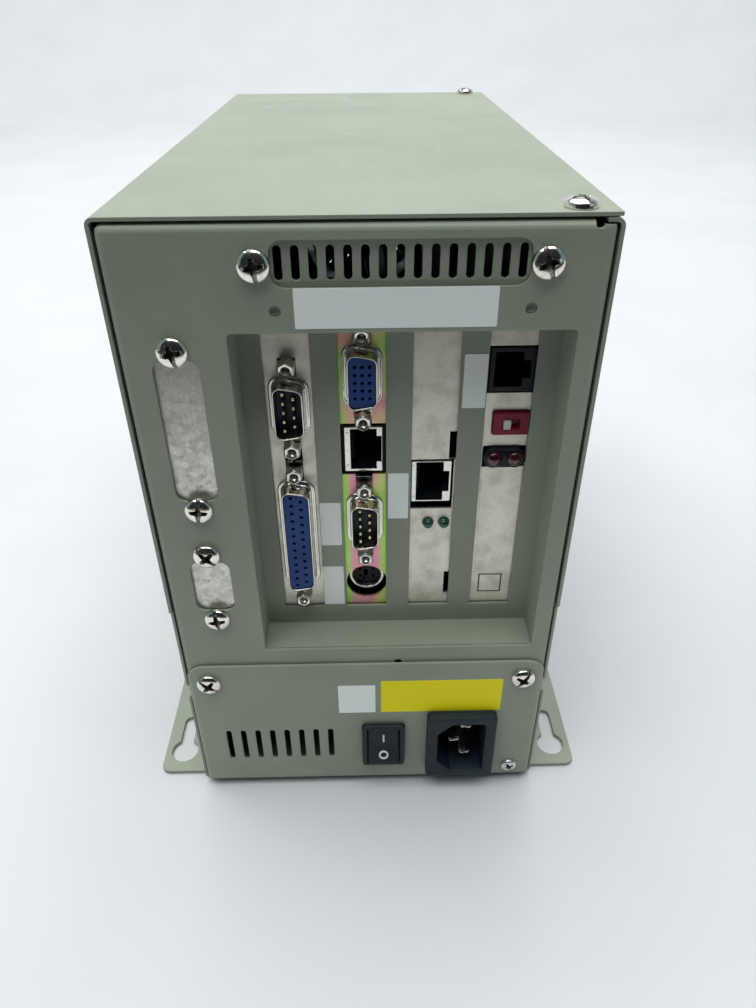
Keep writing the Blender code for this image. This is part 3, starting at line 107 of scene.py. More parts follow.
class Finish:
    # a material, the record slot it goes with, and short-hand that fills its node tree
    def __init__(self, name, slotName, **values):
        self.material = bpy.data.materials.new(name)
        self.material.use_nodes = True
        self.slotName = slotName
        self.tree = self.material.node_tree
        self.shader = self.tree.nodes["Principled BSDF"]
        for key, value in values.items():
            self.shader.inputs[key.replace("_", " ")].default_value = value
        self.place = self.node("ShaderNodeTexCoord", out=3)

    def node(self, kind, settings=None, sockets=None, out=0):
        made = self.tree.nodes.new(kind)
        for key, value in (settings or {}).items():
            if key == "stops":
                ramp = made.color_ramp
                while len(ramp.elements) < len(value):
                    ramp.elements.new(0.5)
                for element, (spot, colour) in zip(ramp.elements, value):
                    element.position = spot
                    element.color = colour
            else:
                setattr(made, key, value)
        for key, value in (sockets or {}).items():
            self.join(made.inputs[key], value)
        return Wire(self, made.outputs[out])

    def join(self, socket, value):
        if isinstance(value, Wire):
            self.tree.links.new(value.socket, socket)
        else:
            socket.default_value = value

    def feed(self, name, value):
        self.join(self.shader.inputs[name], value)

    def noise(self, scale, detail=2.0, roughness=0.5, stretch=None, distortion=0.0):
        place = self.stretched(stretch) if stretch else self.place
        return self.node(
            "ShaderNodeTexNoise",
            None,
            {"Vector": place, "Scale": scale, "Detail": detail, "Roughness": roughness, "Distortion": distortion},
        )

    def cells(self, scale, out=0, randomness=1.0):
        return self.node("ShaderNodeTexVoronoi", None,
                         {"Vector": self.place, "Scale": scale, "Randomness": randomness}, out)

    def stretched(self, amounts):
        return self.node("ShaderNodeMapping", None, {"Vector": self.place, "Scale": amounts})

    def blend(self, first, second, share):
        return self.node(
            "ShaderNodeMix",
            {"data_type": "RGBA", "blend_type": "MIX"},
            {0: share, 6: first, 7: second},
            2,
        )

    def ramp(self, value, stops):
        return self.node("ShaderNodeValToRGB", {"stops": stops}, {"Fac": value})

    def mark(self, attribute):
        return self.node("ShaderNodeAttribute", {"attribute_name": attribute}, out=2)

    def bump(self, height, strength, distance):
        made = self.node("ShaderNodeBump", None, {"Height": height, "Strength": strength, "Distance": distance})
        self.feed("Normal", made)


def tint(colour, amount):
    return tuple(channel * amount for channel in colour[:3]) + (1,)


def sagePaint():
    look = {"colour": (0.295, 0.325, 0.25, 1), "shade": 0.9, "grain": 5200, "smudge": 26}
    paint = Finish("sagePaint", "painted_steel", Roughness=0.42)
    cloud = paint.noise(look["smudge"], 3.0, 0.6)
    grain = paint.noise(look["grain"], 2.0, 0.55)
    fleck = paint.cells(1500).step(0.16, 0.05) * paint.noise(420, 1.0).step(0.56, 0.72)
    rub = paint.noise(90, 4.0, 0.7, (1, 0.25, 1)).step(0.6, 0.74)
    body = paint.blend(look["colour"], tint(look["colour"], look["shade"]), cloud.step(0.35, 0.7))
    body = paint.blend(body, tint(look["colour"], 0.62), fleck * 0.4)
    body = paint.blend(body, tint(look["colour"], 1.12), rub * 0.3)
    paint.feed("Base Color", body)
    paint.feed("Roughness", 0.4 + 0.12 * grain + 0.1 * cloud - 0.06 * rub)
    paint.bump(grain + 0.5 * paint.noise(1500, 1.0), 0.16, 0.00016)
    return paint


def zincPlate():
    look = {"bright": (0.77, 0.74, 0.64, 1), "dull": (0.6, 0.57, 0.48, 1), "pit": (0.2, 0.17, 0.12, 1)}
    zinc = Finish("zincPlate", "zinc_plate", Metallic=0.85)
    cloud = zinc.noise(160, 4.0, 0.65)
    speck = zinc.noise(3600, 2.0, 0.7).step(0.56, 0.7)
    pits = zinc.cells(900).step(0.14, 0.05) * zinc.noise(300, 2.0).step(0.52, 0.6)
    rolled = zinc.noise(500, 3.0, 0.6, (6, 6, 0.4))
    body = zinc.blend(look["bright"], look["dull"], cloud.step(0.4, 0.72))
    body = zinc.blend(body, tint(look["dull"], 0.75), speck * 0.45)
    body = zinc.blend(body, look["pit"], pits)
    zinc.feed("Base Color", body)
    zinc.feed("Roughness", 0.3 + 0.22 * cloud + 0.12 * speck + 0.2 * pits)
    zinc.bump(rolled + speck - 2.0 * pits, 0.22, 0.00006)
    return zinc


def spangledZinc():
    # plain galvanised sheet: crystals of differing brightness with dark cracks between them
    look = {"bright": (0.73, 0.72, 0.66, 1), "dark": (0.36, 0.35, 0.31, 1)}
    zinc = Finish("spangledZinc", "zinc_plate", Metallic=0.9)
    leaf = zinc.cells(820, 0).step(0.0, 1.0)
    tone = zinc.node("ShaderNodeSeparateColor", None, {"Color": zinc.cells(620, 1)})
    scar = zinc.noise(1400, 4.0, 0.75, (1, 1, 0.35), 0.8).step(0.6, 0.67)
    body = zinc.blend(look["bright"], look["dark"], 0.35 * tone + 0.25 * leaf)
    body = zinc.blend(body, tint(look["dark"], 0.6), scar * 0.75)
    zinc.feed("Base Color", body)
    zinc.feed("Roughness", 0.26 + 0.2 * tone + 0.2 * scar)
    zinc.bump(tone - scar, 0.2, 0.00005)
    return zinc


def yellowChromate():
    # thin interference film: hue drifts between green, yellow, orange and pink in slow bands
    film = Finish("yellowChromate", "yellow_chromate", Metallic=0.8)
    drift = film.noise(34, 1.5, 0.5, (1, 1, 0.75), 0.6)
    bands = [
        (0.0, (0.3, 0.6, 0.1, 1)),
        (0.36, (0.46, 0.76, 0.18, 1)),
        (0.42, (0.66, 0.74, 0.26, 1)),
        (0.46, (0.85, 0.5, 0.3, 1)),
        (0.52, (0.8, 0.34, 0.46, 1)),
        (0.58, (0.84, 0.46, 0.4, 1)),
        (0.63, (0.7, 0.7, 0.28, 1)),
        (0.7, (0.4, 0.72, 0.16, 1)),
    ]
    # green creeps in along both long edges of the strip
    span = film.node("ShaderNodeSeparateXYZ", None, {"Vector": film.place})
    edge = film.node("ShaderNodeMath", {"operation": "ABSOLUTE"}, {0: span - 0.5 * (bracketLow[0] + bracketHigh[0])})
    hue = film.ramp(drift, bands)
    hue = film.blend(hue, (0.4, 0.78, 0.14, 1), edge.step(3.4 * mm, 6.2 * mm) * film.noise(60, 2.0).step(0.4, 0.62))
    speck = film.noise(3800, 2.0, 0.7).step(0.58, 0.72)
    stain = film.cells(700).step(0.12, 0.04) * film.noise(260, 2.0).step(0.54, 0.62)
    film.feed("Base Color", film.blend(film.blend(hue, (0.45, 0.42, 0.25, 1), speck * 0.35),
                                       (0.15, 0.1, 0.08, 1), stain))
    film.feed("Roughness", 0.3 + 0.18 * film.noise(200, 3.0) + 0.1 * speck)
    film.bump(speck, 0.12, 0.00004)
    return film


def nickel(name, colour, rough):
    shine = Finish(name, "nickel_plate", Metallic=1.0)
    swirl = shine.noise(900, 4.0, 0.7)
    nick = shine.noise(2600, 3.0, 0.8, (1, 1, 0.2)).step(0.62, 0.72)
    # painted shade: the 'recess' point weight blends the plate towards near black, standing in for the shade inside
    # sunk screw recesses
    recessShade = shine.mark("recess")
    plate = shine.blend(colour, tint(colour, 0.72), swirl.step(0.45, 0.75))
    shine.feed("Base Color", shine.blend(plate, (0.012, 0.011, 0.01, 1), recessShade * 0.9))
    shine.feed("Roughness", rough + 0.12 * swirl + 0.2 * nick + 0.3 * recessShade)
    shine.bump(swirl - nick, 0.08, 0.00004)
    return shine


def moulded(name, slotName, colour, rough, grain=3800, strength=0.18):
    # moulded plastic: fine spark-eroded grain, faint flow clouding, a few lighter rubs
    body = Finish(name, slotName, Specular_IOR_Level=0.36)
    skin = body.noise(grain, 2.0, 0.6)
    flow = body.noise(120, 3.0, 0.6)
    rub = body.noise(700, 4.0, 0.75, (1, 1, 0.3)).step(0.64, 0.76)
    lighter = tuple(channel + 0.05 for channel in colour[:3]) + (1,)
    tone = body.blend(colour, tint(colour, 0.7), flow.step(0.35, 0.75))
    body.feed("Base Color", body.blend(tone, lighter, rub * 0.3))
    body.feed("Roughness", rough + 0.14 * skin + 0.08 * flow)
    body.bump(skin, strength, 0.0001)
    return body


def paper(name, colour, rough):
    sheet = Finish(name, "painted_steel", Specular_IOR_Level=0.25)
    fibre = sheet.noise(2400, 4.0, 0.7)
    age = sheet.noise(60, 2.0)
    sheet.feed("Base Color", sheet.blend(colour, tint(colour, 0.92), 0.5 * fibre + 0.5 * age))
    sheet.feed("Roughness", rough + 0.15 * fibre)
    sheet.bump(fibre, 0.05, 0.00005)
    return sheet


def circuitBoard(name, colour):
    # solder mask over copper: narrow tracks from stretched cells, drilled pads, weave below
    board = Finish(name, "circuit_board")
    lanes = board.node("ShaderNodeTexWave", {"wave_type": "BANDS", "bands_direction": "Z"},
                       {"Vector": board.place, "Scale": 330, "Distortion": 3.0, "Detail": 0.0, "Detail Scale": 0.35})
    group = board.noise(90, 0.0, 0.5, (1, 0.35, 1)).step(0.5, 0.52)
    track = lanes.step(0.55, 0.75) * group
    pads = board.cells(240, 0, 0.25).step(0.2, 0.16)
    dots = board.cells(520, 0, 0.6).step(0.14, 0.1) * board.noise(120, 1.0).step(0.5, 0.52)
    mask = board.blend(colour, tint(colour, 1.9), track * 0.7)
    mask = board.blend(mask, (0.62, 0.6, 0.52, 1), pads * board.noise(150, 0.0).step(0.54, 0.56))
    mask = board.blend(mask, (0.6, 0.58, 0.5, 1), dots)
    board.feed("Base Color", mask)
    board.feed("Roughness", 0.32 + 0.2 * pads + 0.08 * board.noise(2500, 2.0))
    board.bump(track + pads + dots, 0.25, 0.00005)
    return board


def lens(name, slotName, colour):
    glassy = Finish(name, slotName, Coat_Weight=0.6, Coat_Roughness=0.06)
    core = glassy.noise(700, 2.0)
    glassy.feed("Base Color", glassy.blend(colour, tint(colour, 0.4), core.step(0.35, 0.7)))
    glassy.feed("Roughness", 0.14 + 0.12 * core)
    glassy.bump(core, 0.05, 0.00008)
    return glassy


def laminations():
    # stacked iron sheets, their edges seen as fine lines
    stack = Finish("laminations", "transformer", Metallic=0.6)
    lines = stack.node("ShaderNodeTexWave", {"wave_type": "BANDS", "bands_direction": "Y"},
                       {"Vector": stack.place, "Scale": 520, "Distortion": 0.4})
    rust = stack.noise(300, 4.0, 0.7)
    stack.feed("Base Color", stack.blend((0.1, 0.095, 0.09, 1), (0.2, 0.15, 0.1, 1), rust.step(0.5, 0.75)))
    stack.feed("Roughness", 0.4 + 0.3 * rust)
    stack.bump(lines + 0.3 * rust, 0.4, 0.0001)
    return stack


bracketLow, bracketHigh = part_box("card_bracket_2")
paint = sagePaint()
zinc = zincPlate()
spangle = spangledZinc()
chromate = yellowChromate()
brightNickel = nickel("brightNickel", (0.86, 0.82, 0.74, 1), 0.07)
shellNickel = nickel("shellNickel", (0.78, 0.75, 0.68, 1), 0.12)
dullZinc = nickel("dullZinc", (0.74, 0.78, 0.77, 1), 0.26)
gold = nickel("contactGold", (0.84, 0.74, 0.5, 1), 0.14)
black = moulded("blackPlastic", "black_plastic", (0.004, 0.008, 0.012, 1), 0.36)
navy = moulded("inletPlastic", "black_plastic", (0.004, 0.014, 0.023, 1), 0.4, 2600, 0.14)
darkInsert = moulded("navyInsert", "black_plastic", (0.005, 0.017, 0.05, 1), 0.3)
tealInsert = moulded("tealInsert", "black_plastic", (0.005, 0.03, 0.034, 1), 0.3)
blue = moulded("bluePlastic", "blue_plastic", (0.008, 0.05, 0.23, 1), 0.34)
crimson = moulded("crimsonPlastic", "red_plastic", (0.25, 0.008, 0.03, 1), 0.34)
ivory = moulded("ivoryPlastic", "white_plastic", (0.72, 0.71, 0.62, 1), 0.4)
ink = moulded("whiteInk", "black_plastic", (0.78, 0.8, 0.8, 1), 0.45)
whiteLabel = paper("whiteLabel", (0.96, 0.98, 0.95, 1), 0.4)
yellowLabel = paper("yellowLabel", (0.97, 0.84, 0.003, 1), 0.42)
boardGreen = circuitBoard("boardGreen", (0.012, 0.075, 0.03, 1))
boardDark = circuitBoard("boardDark", (0.012, 0.05, 0.028, 1))
redLens = lens("redLens", "red_lens", (0.07, 0.006, 0.012, 1))
greenLens = lens("greenLens", "green_lens", (0.012, 0.1, 0.055, 1))
ironStack = laminations()
anodised = moulded("blackAnodised", "black_anodised", (0.02, 0.021, 0.023, 1), 0.4, 5000, 0.1)
extrusion = nickel("rawAluminium", (0.62, 0.62, 0.62, 1), 0.32)
extrusion.slotName = "aluminium"
print("finishes made")


def corners(node):
    low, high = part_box(node)
    return np.array(low), np.array(high)


def unit(vectors):
    return vectors / np.linalg.norm(vectors, axis=-1, keepdims=True)


def roundedLoop(spots, radii, steps=5):
    # each corner becomes an arc: its centre lies on the corner's bisector and its points turn evenly round it
    spots = np.asarray(spots, float)
    radii = np.broadcast_to(np.maximum(radii, 1e-7), len(spots))[:, None]
    back = unit(np.roll(spots, 1, 0) - spots)
    onward = unit(np.roll(spots, -1, 0) - spots)
    half = np.arccos(np.clip((back * onward).sum(1), -1, 1))[:, None] / 2
    centre = spots + unit(back + onward) * radii / np.sin(half)
    first = spots + back * radii / np.tan(half) - centre
    last = spots + onward * radii / np.tan(half) - centre
    start = np.arctan2(first[:, 1], first[:, 0])[:, None]
    turn = (np.arctan2(last[:, 1], last[:, 0])[:, None] - start + math.pi) % math.tau - math.pi
    angle = start + turn * np.linspace(0, 1, steps + 1)
    return (centre[:, None] + radii[:, None] * np.stack([np.cos(angle), np.sin(angle)], -1)).reshape(-1, 2)


def boxLoop(x, z, width, height, radius, steps=5):
    # the four corners of an upright box, each turned into an arc
    half = np.array([[-1, -1], [1, -1], [1, 1], [-1, 1]]) * (width / 2, height / 2)
    return roundedLoop(half + (x, z), radius, steps)


def circleLoop(x, z, radius, sides=32):
    # points spread evenly round a circle
    turn = np.arange(sides) * math.tau / sides
    return np.column_stack([x + radius * np.cos(turn), z + radius * np.sin(turn)])


def portLoop(x, z, length, width, grow=0.0, steps=6):
    # D shape on end: the longer side to the left, the two sides between leaning in at 10 degrees
    half = width / 2 + grow
    tall = length / 2 + grow
    short = tall - 2 * half * math.tan(math.radians(10))
    spots = [(x - half, z - tall), (x + half, z - short), (x + half, z + short), (x - half, z + tall)]
    return roundedLoop(spots, min(2.4 * mm, half * 0.55) + grow / 2, steps)


def insetLoop(loop, amount):
    # every side moves inwards by the amount and every corner slides along its mitre
    after = np.roll(loop, -1, 0)
    area = (loop[:, 0] * after[:, 1] - after[:, 0] * loop[:, 1]).sum()
    into = unit(loop - np.roll(loop, 1, 0))
    out = unit(after - loop)
    side = np.column_stack([-into[:, 1], into[:, 0]])
    mitre = unit(side + np.column_stack([-out[:, 1], out[:, 0]]))
    reach = amount * np.sign(area) / np.clip((mitre * side).sum(1), 0.4, None)
    return loop + mitre * reach[:, None]


def sweepRound(loop, profile):
    # a profile of (inset, y) carried round a loop that stands in the XZ plane:
    # one ring of points for each profile point
    rings = [insetLoop(loop, inset) for inset, _ in profile]
    return np.stack([np.insert(ring, 1, y, axis=1) for ring, (_, y) in zip(rings, profile)])


def patch(grid, wrapRows=False, wrapCols=False, capFirst=False, capLast=False):
    # quads between the neighbours of a grid of points; a cap closes its first or last row
    rows, cols = grid.shape[:2]
    r = np.arange(rows if wrapRows else rows - 1)[:, None]
    c = np.arange(cols if wrapCols else cols - 1)[None, :]
    down, across = (r + 1) % rows, (c + 1) % cols
    quads = np.stack(
        np.broadcast_arrays(r * cols + c, r * cols + across, down * cols + across, down * cols + c), -1
    ).reshape(-1, 4)
    blocks = [quads]
    if capFirst:
        blocks.append(np.arange(cols)[None, ::-1])
    if capLast:
        blocks.append(((rows - 1) * cols + np.arange(cols))[None, :])
    return grid.reshape(-1, 3), blocks


def sweptSolid(loop, profile, capFirst=True, capLast=True):
    # a profile carried round a loop, its two ends closed by flat caps
    return patch(sweepRound(loop, profile), wrapCols=True, capFirst=capFirst, capLast=capLast)


def piercedFace(loop, holes, y):
    # the flat face between a loop and the holes in it, in triangles
    loops = [loop] + list(holes)
    flat = np.vstack(loops)
    triangles = tessellate_polygon([[Vector((x, z, 0)) for x, z in one] for one in loops])
    return np.insert(flat, 1, y, axis=1), [np.array(triangles)]


def turned(profile, foot, outward, sides=40):
    # a profile of (radius, height) turned about an axis through the foot
    radius, height = np.asarray(profile, float).T
    turn = np.arange(sides) * math.tau / sides
    grid = np.stack(
        [radius[:, None] * np.cos(turn), radius[:, None] * np.sin(turn), height[:, None] + 0 * turn], -1
    )
    return patch(turnTo(grid, foot, outward), wrapCols=True)


def turnTo(grid, foot, outward):
    # points made about +Z, laid along another axis through the foot
    spin = np.array(Vector((0, 0, 1)).rotation_difference(Vector(outward)).to_matrix())
    return grid @ spin.T + np.asarray(foot)


def tube(path, radius, sides=10):
    # a circle carried along a path, square to the path at each point, its ends closed
    path = np.asarray(path, float)
    along = unit(np.gradient(path, axis=0))
    guide = np.array([0.0, 0.0, 1.0]) if abs(along[:, 2]).mean() < 0.8 else np.array([1.0, 0.0, 0.0])
    side = unit(np.cross(along, guide))
    top = np.cross(side, along)
    turn = np.arange(sides) * math.tau / sides
    ring = side[:, None] * np.cos(turn)[:, None] + top[:, None] * np.sin(turn)[:, None]
    return patch(path[:, None] + ring * radius, wrapCols=True, capFirst=True, capLast=True)


def slab(low, high, edge=0.0001):
    # a box with chamfered edges, as a rounded outline carried up through four levels
    low, high = np.asarray(low, float), np.asarray(high, float)
    middle = (low + high) / 2
    size = high - low
    edge = min(edge, size.min() * 0.3)
    loop = boxLoop(middle[0], middle[2], size[0], size[2], edge, 1)
    levels = [(edge, low[1]), (0, low[1] + edge), (0, high[1] - edge), (edge, high[1])]
    return sweptSolid(loop, levels)


def putPiece(name, patches, finish, body="case", stands=(), sharp=38, recess=None):
    # joins patches into one mesh, merges the points where they meet and turns every face outwards
    points, faces, start = [], [], 0
    for spots, blocks in patches:
        for block in blocks:
            faces += (block + start).tolist()
        points.append(spots)
        start += len(spots)
    mesh = bpy.data.meshes.new(name)
    mesh.from_pydata(np.vstack(points).tolist(), [], faces)
    # recess: per-point weights of painted shade, kept as the 'recess' attribute for the nickel finish to darken by
    if recess is not None:
        depth = np.zeros(start, np.float32)
        depth[:len(recess)] = recess
        mesh.attributes.new("recess", "FLOAT", "POINT").data.foreach_set("value", depth)
    shape = bmesh.new()
    shape.from_mesh(mesh)
    bmesh.ops.remove_doubles(shape, verts=shape.verts, dist=2e-6)
    bmesh.ops.recalc_face_normals(shape, faces=shape.faces)
    shape.to_mesh(mesh)
    shape.free()
    mesh.shade_smooth()
    mesh.set_sharp_from_angle(angle=math.radians(sharp))
    mesh.materials.append(finish.material)
    piece = bpy.data.objects.new(name, mesh)
    scene.collection.objects.link(piece)
    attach(piece, body)
    if stands:
        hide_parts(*stands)
    return piece


def softenedCopy(node, finish, edge=0.00016, segments=2, name=None, flat=True):
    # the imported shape, merged, with small rounded edges that catch the light
    source = nodes[node]
    mesh = source.data.copy()
    shape = bmesh.new()
    shape.from_mesh(mesh)
    bmesh.ops.remove_doubles(shape, verts=shape.verts, dist=2e-6)
    if flat:
        bmesh.ops.dissolve_limit(shape, angle_limit=math.radians(0.6), verts=shape.verts, edges=shape.edges)
    shape.to_mesh(mesh)
    shape.free()
    mesh.shade_smooth()
    mesh.materials.clear()
    mesh.materials.append(finish.material)
    piece = bpy.data.objects.new(name or node + "_skin", mesh)
    scene.collection.objects.link(piece)
    bevel = piece.modifiers.new("edges", "BEVEL")
    bevel.width = edge
    bevel.segments = segments
    bevel.limit_method = "ANGLE"
    bevel.angle_limit = math.radians(34)
    weigh = piece.modifiers.new("flats", "WEIGHTED_NORMAL")
    weigh.mode = "FACE_AREA"
    weigh.weight = 100
    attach(piece, source["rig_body"])
    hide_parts(node)
    return piece


for sheetNode in ("cover", "right_side_panel", "base_tray", "front_panel", "rear_panel", "slot_pocket",
                  "card_clamp", "power_cover_plate", "mounting_plate"):
    softenedCopy(sheetNode, paint, 0.0002, flat=False)
for sheetNode in ("card_bracket_1", "card_bracket_3", "card_bracket_4"):
    softenedCopy(sheetNode, zinc, 0.0001, flat=False)
softenedCopy("card_shelf", zinc, 0.00012)
softenedCopy("card_bracket_2", chromate, 0.0001, flat=False)
for sheetNode in ("large_port_blank", "small_port_blank"):
    softenedCopy(sheetNode, spangle, 0.00012)
print("sheet metal softened")


screwLook = {
    "radius": 3.95 * mm,
    "height": 2.4 * mm,
    "armWidth": 0.76 * mm,
    "armReach": 2.65 * mm,
    "armDepth": 2.3 * mm,
    "slotWidth": 0.46 * mm,
    "slotDepth": 0.7 * mm,
    "rings": 56,
    "spokes": 144,
}


def smoothStep(value):
    value = np.clip(value, 0, 1)
    return value * value * (3 - 2 * value)


def screwHead(seat, outward, spin, shank, scale=1.0, slotted=True):
    # dome: height falls as the square root of 1 - r^2.4 towards the rim; a cross whose arms grow
    # shallower outwards, and a slot right across, are taken off it behind walls as steep as a smooth step
    look = screwLook
    share = np.linspace(0, 1, look["rings"])[:, None] ** 0.8
    turn = (np.arange(look["spokes"]) * math.tau / look["spokes"])[None, :]
    r = share * look["radius"]
    x, y = r * np.cos(turn - spin), r * np.sin(turn - spin)
    dome = look["height"] * (0.38 + 0.62 * np.sqrt(np.clip(1 - share ** 2.4, 0, 1))) + 0 * turn
    wall = 0.1 * mm

    def arm(along, across):
        taper = np.clip(1 - np.abs(along) / look["armReach"], 0, 1)
        half = look["armWidth"] * (0.55 + 0.6 * taper)
        return look["armDepth"] * np.minimum(taper * 1.5, 1) * smoothStep((half - np.abs(across)) / wall + 0.5)

    cross = np.maximum(arm(x, y), arm(y, x))
    if slotted:
        cross = np.maximum(cross, look["slotDepth"] * smoothStep((look["slotWidth"] - np.abs(x)) / wall + 0.5))
    top = np.maximum(dome - cross, 0.22 * mm)
    rim = look["radius"]
    face = np.stack([r * np.cos(turn), r * np.sin(turn), top], -1)
    foot = np.stack([rim * np.cos(turn), rim * np.sin(turn), 0.1 * mm + 0 * turn], -1)
    head = turnTo(np.concatenate([face, foot]) * scale, seat, outward)
    # painted shade: points sunk into the cross and slot get a weight that rises with their depth, full at 1 mm, which
    # darkens them towards black
    recessShade = np.append(smoothStep((dome - top) / (1.0 * mm)).ravel(), np.zeros(look["spokes"]))
    depths = np.linspace(0, shank, 40)
    under = [(rim * scale, 0.1 * mm * scale), (rim * 0.97 * scale, 0.03 * mm), (1.62 * mm, 0.03 * mm)]
    thread = [(1.55 * mm + 0.11 * mm * math.cos(math.tau * d / (0.7 * mm)), -d) for d in depths]
    tip = [(1.2 * mm, -shank - 0.3 * mm), (0, -shank - 0.3 * mm)]
    return [patch(head, wrapCols=True), turned(under + thread + tip, seat, outward, look["spokes"])], recessShade


screwSpins = {
    "vent_screw_left": 0.16, "vent_screw_right": 0.35, "large_blank_screw_top": 0.2, "large_blank_screw_bottom": -0.1,
    "small_blank_screw_top": 0.75, "small_blank_screw_bottom": 0.12, "power_plate_screw_left": 0.9,
    "power_plate_screw_right": -0.55, "ground_screw": 0.5, "cover_screw_front": 0.4, "cover_screw_rear": -0.5,
}
for node, spin in screwSpins.items():
    low, high = corners(node)
    isCover = node.startswith("cover")
    small = node == "ground_screw"
    middle = (low + high) / 2
    if isCover:
        seat, outward = (middle[0], middle[1], high[2] - 2.7 * mm), (0, 0, 1)
    else:
        seat, outward = (middle[0], low[1] + 2.7 * mm, middle[2]), (0, -1, 0)
    patches, recessShade = screwHead(seat, outward, spin, 4.6 * mm, 0.7 if small else 1.0, not small)
    putPiece(node + "_metal", patches, dullZinc if small else brightNickel,
             "cover" if isCover else "case", [node], 30, recessShade)
print("screws turned")


portLook = {"width": 8.3 * mm, "shell": 0.45 * mm, "reach": 5.7 * mm, "pinPitch": 2.77 * mm, "rowGap": 2.84 * mm}


def jackPost(x, z, front, back):
    # hexagonal standoff: chamfered hex outline, threaded bore shown as fine rings
    turn = np.arange(6) * math.tau / 6 + math.pi / 6
    hexagon = roundedLoop(np.column_stack([x + 2.62 * mm * np.cos(turn), z + 2.62 * mm * np.sin(turn)]), 0.25 * mm, 2)
    bore = circleLoop(x, z, 1.42 * mm, 24)
    outer = sweptSolid(hexagon, [(0.42 * mm, front), (0.08 * mm, front + 0.28 * mm), (0, front + 0.5 * mm),
                                 (0, back)], False)
    face = piercedFace(insetLoop(hexagon, 0.42 * mm), [insetLoop(bore, -0.22 * mm)], front)
    depth = np.linspace(0, 3.2 * mm, 28)
    ripple = 0.1 * mm * np.cos(depth * math.tau / (0.55 * mm))
    profile = [(-0.22 * mm, front)] + [
        (float(a), front + 0.2 * mm + float(d)) for a, d in zip(ripple + 0.02 * mm, depth)]
    return [outer, face, sweptSolid(bore, profile, False)]


def pinSpots(x, z, rows, pitch, gap):
    # rows of contacts from left to right, each row centred on the port
    spots = []
    for row, count in enumerate(rows):
        across = x + (row - (len(rows) - 1) / 2) * gap
        along = z + (np.arange(count) - (count - 1) / 2) * pitch
        spots += [(across, float(height)) for height in along]
    return spots


def dPort(node, length, screws, rows, pitch, gap, male, insert):
    # shell: the D outline carried through pairs of (inset, depth) that curl outwards at the foot and over at
    # the lip; floor: the inset outline pierced by a circle for each contact; pins: turned profiles
    low, high = corners(node)
    x = low[0] + 6.2 * mm
    z = (low[2] + high[2]) / 2
    face = low[1]
    plate = face + portLook["reach"]
    back = high[1]
    outline = portLoop(x, z, length, portLook["width"])
    thick = portLook["shell"]
    floor = face + (5.2 * mm if male else 0.55 * mm)
    flare = [(-1.5 * mm, plate + 0.9 * mm), (-1.5 * mm, plate - 0.25 * mm), (-1.35 * mm, plate - 0.5 * mm),
             (-1.05 * mm, plate - 0.55 * mm), (-0.75 * mm, plate - 0.4 * mm), (-0.4 * mm, plate - 0.5 * mm),
             (-0.1 * mm, plate - 0.9 * mm), (0, plate - 1.4 * mm), (0, face + 0.25 * mm),
             (0.08 * mm, face + 0.06 * mm), (0.22 * mm, face),
             (thick - 0.08 * mm, face + 0.05 * mm), (thick, face + 0.25 * mm), (thick, floor + 0.4 * mm)]
    flange = boxLoop(x, z, 12.2 * mm, screws + 4.2 * mm, 1.4 * mm)
    posts = [z - screws / 2, z + screws / 2]
    flat = [sweptSolid(flange, [(0.1 * mm, plate + 1.25 * mm), (0, plate + 1.35 * mm), (0, plate + 2.2 * mm),
                                (0.1 * mm, plate + 2.3 * mm)])]
    putPiece(node + "_shell", [sweptSolid(outline, flare, False, False)] + flat, shellNickel, stands=[node], sharp=50)
    for index, height in enumerate(posts):
        putPiece(f"{node}_post_{index + 1}", jackPost(x, height, face + 0.9 * mm, plate), shellNickel, sharp=32)
    spots = pinSpots(x, z, rows, pitch, gap)
    inner = insetLoop(outline, thick + 0.02 * mm)
    if male:
        tub = sweptSolid(inner, [(0, plate + 2.0 * mm), (0, floor + 0.12 * mm), (0.12 * mm, floor)])
        putPiece(node + "_insert", [tub], insert)
        pins = []
        for px, pz in spots:
            tip = face + 1.0 * mm
            profile = [(0, 0), (0.22 * mm, 0.04 * mm), (0.42 * mm, 0.2 * mm), (0.5 * mm, 0.5 * mm),
                       (0.5 * mm, floor - tip + 0.5 * mm), (0, floor - tip + 0.5 * mm)]
            pins.append(turned(profile, (px, tip, pz), (0, 1, 0), 16))
        putPiece(node + "_pins", pins, gold, sharp=50)
    else:
        radius = min(0.62 * mm, pitch * 0.24)
        holes = [circleLoop(px, pz, radius, 14) for px, pz in spots]
        lip = insetLoop(inner, 0.1 * mm)
        block = [sweptSolid(inner, [(0, plate + 2.0 * mm), (0, floor + 0.1 * mm), (0.1 * mm, floor)], capLast=False)]
        block += [piercedFace(lip, holes, floor)]
        block += [sweptSolid(hole, [(0, floor), (0.1 * mm, floor + 0.18 * mm), (0.1 * mm, floor + 3 * mm)],
                             False) for hole in holes]
        putPiece(node + "_insert", block, insert)
    rear = [slab((x - 5.4 * mm, plate + 2.35 * mm, z - screws / 2 + 3.6 * mm),
                 (high[0], back, z + screws / 2 - 3.6 * mm), 0.3 * mm)]
    putPiece(node + "_body", rear, darkInsert)


nine, wide = 16.9 * mm, 38.3 * mm
dPort("serial_port_1", nine, 24.99 * mm, (5, 4), portLook["pinPitch"], portLook["rowGap"], True, darkInsert)
dPort("serial_port_2", nine, 24.99 * mm, (5, 4), portLook["pinPitch"], portLook["rowGap"], True, tealInsert)
dPort("video_port", nine, 24.99 * mm, (5, 5, 5), 2.29 * mm, 1.98 * mm, False, blue)
dPort("parallel_port", wide, 47.04 * mm, (13, 12), portLook["pinPitch"], portLook["rowGap"], False, blue)
print("D-shaped ports made")


jackLook = {"wires": 8, "wirePitch": 1.02 * mm, "wire": 0.2 * mm}


def jackMouth(left, right, notch, z, half, latch):
    # outline of the plug's opening with the latch's notch on its right
    spots = [(left, z - half), (right, z - half), (right, z - latch), (notch, z - latch),
             (notch, z + latch), (right, z + latch), (right, z + half), (left, z + half)]
    return roundedLoop(spots, 0.12 * mm, 2)


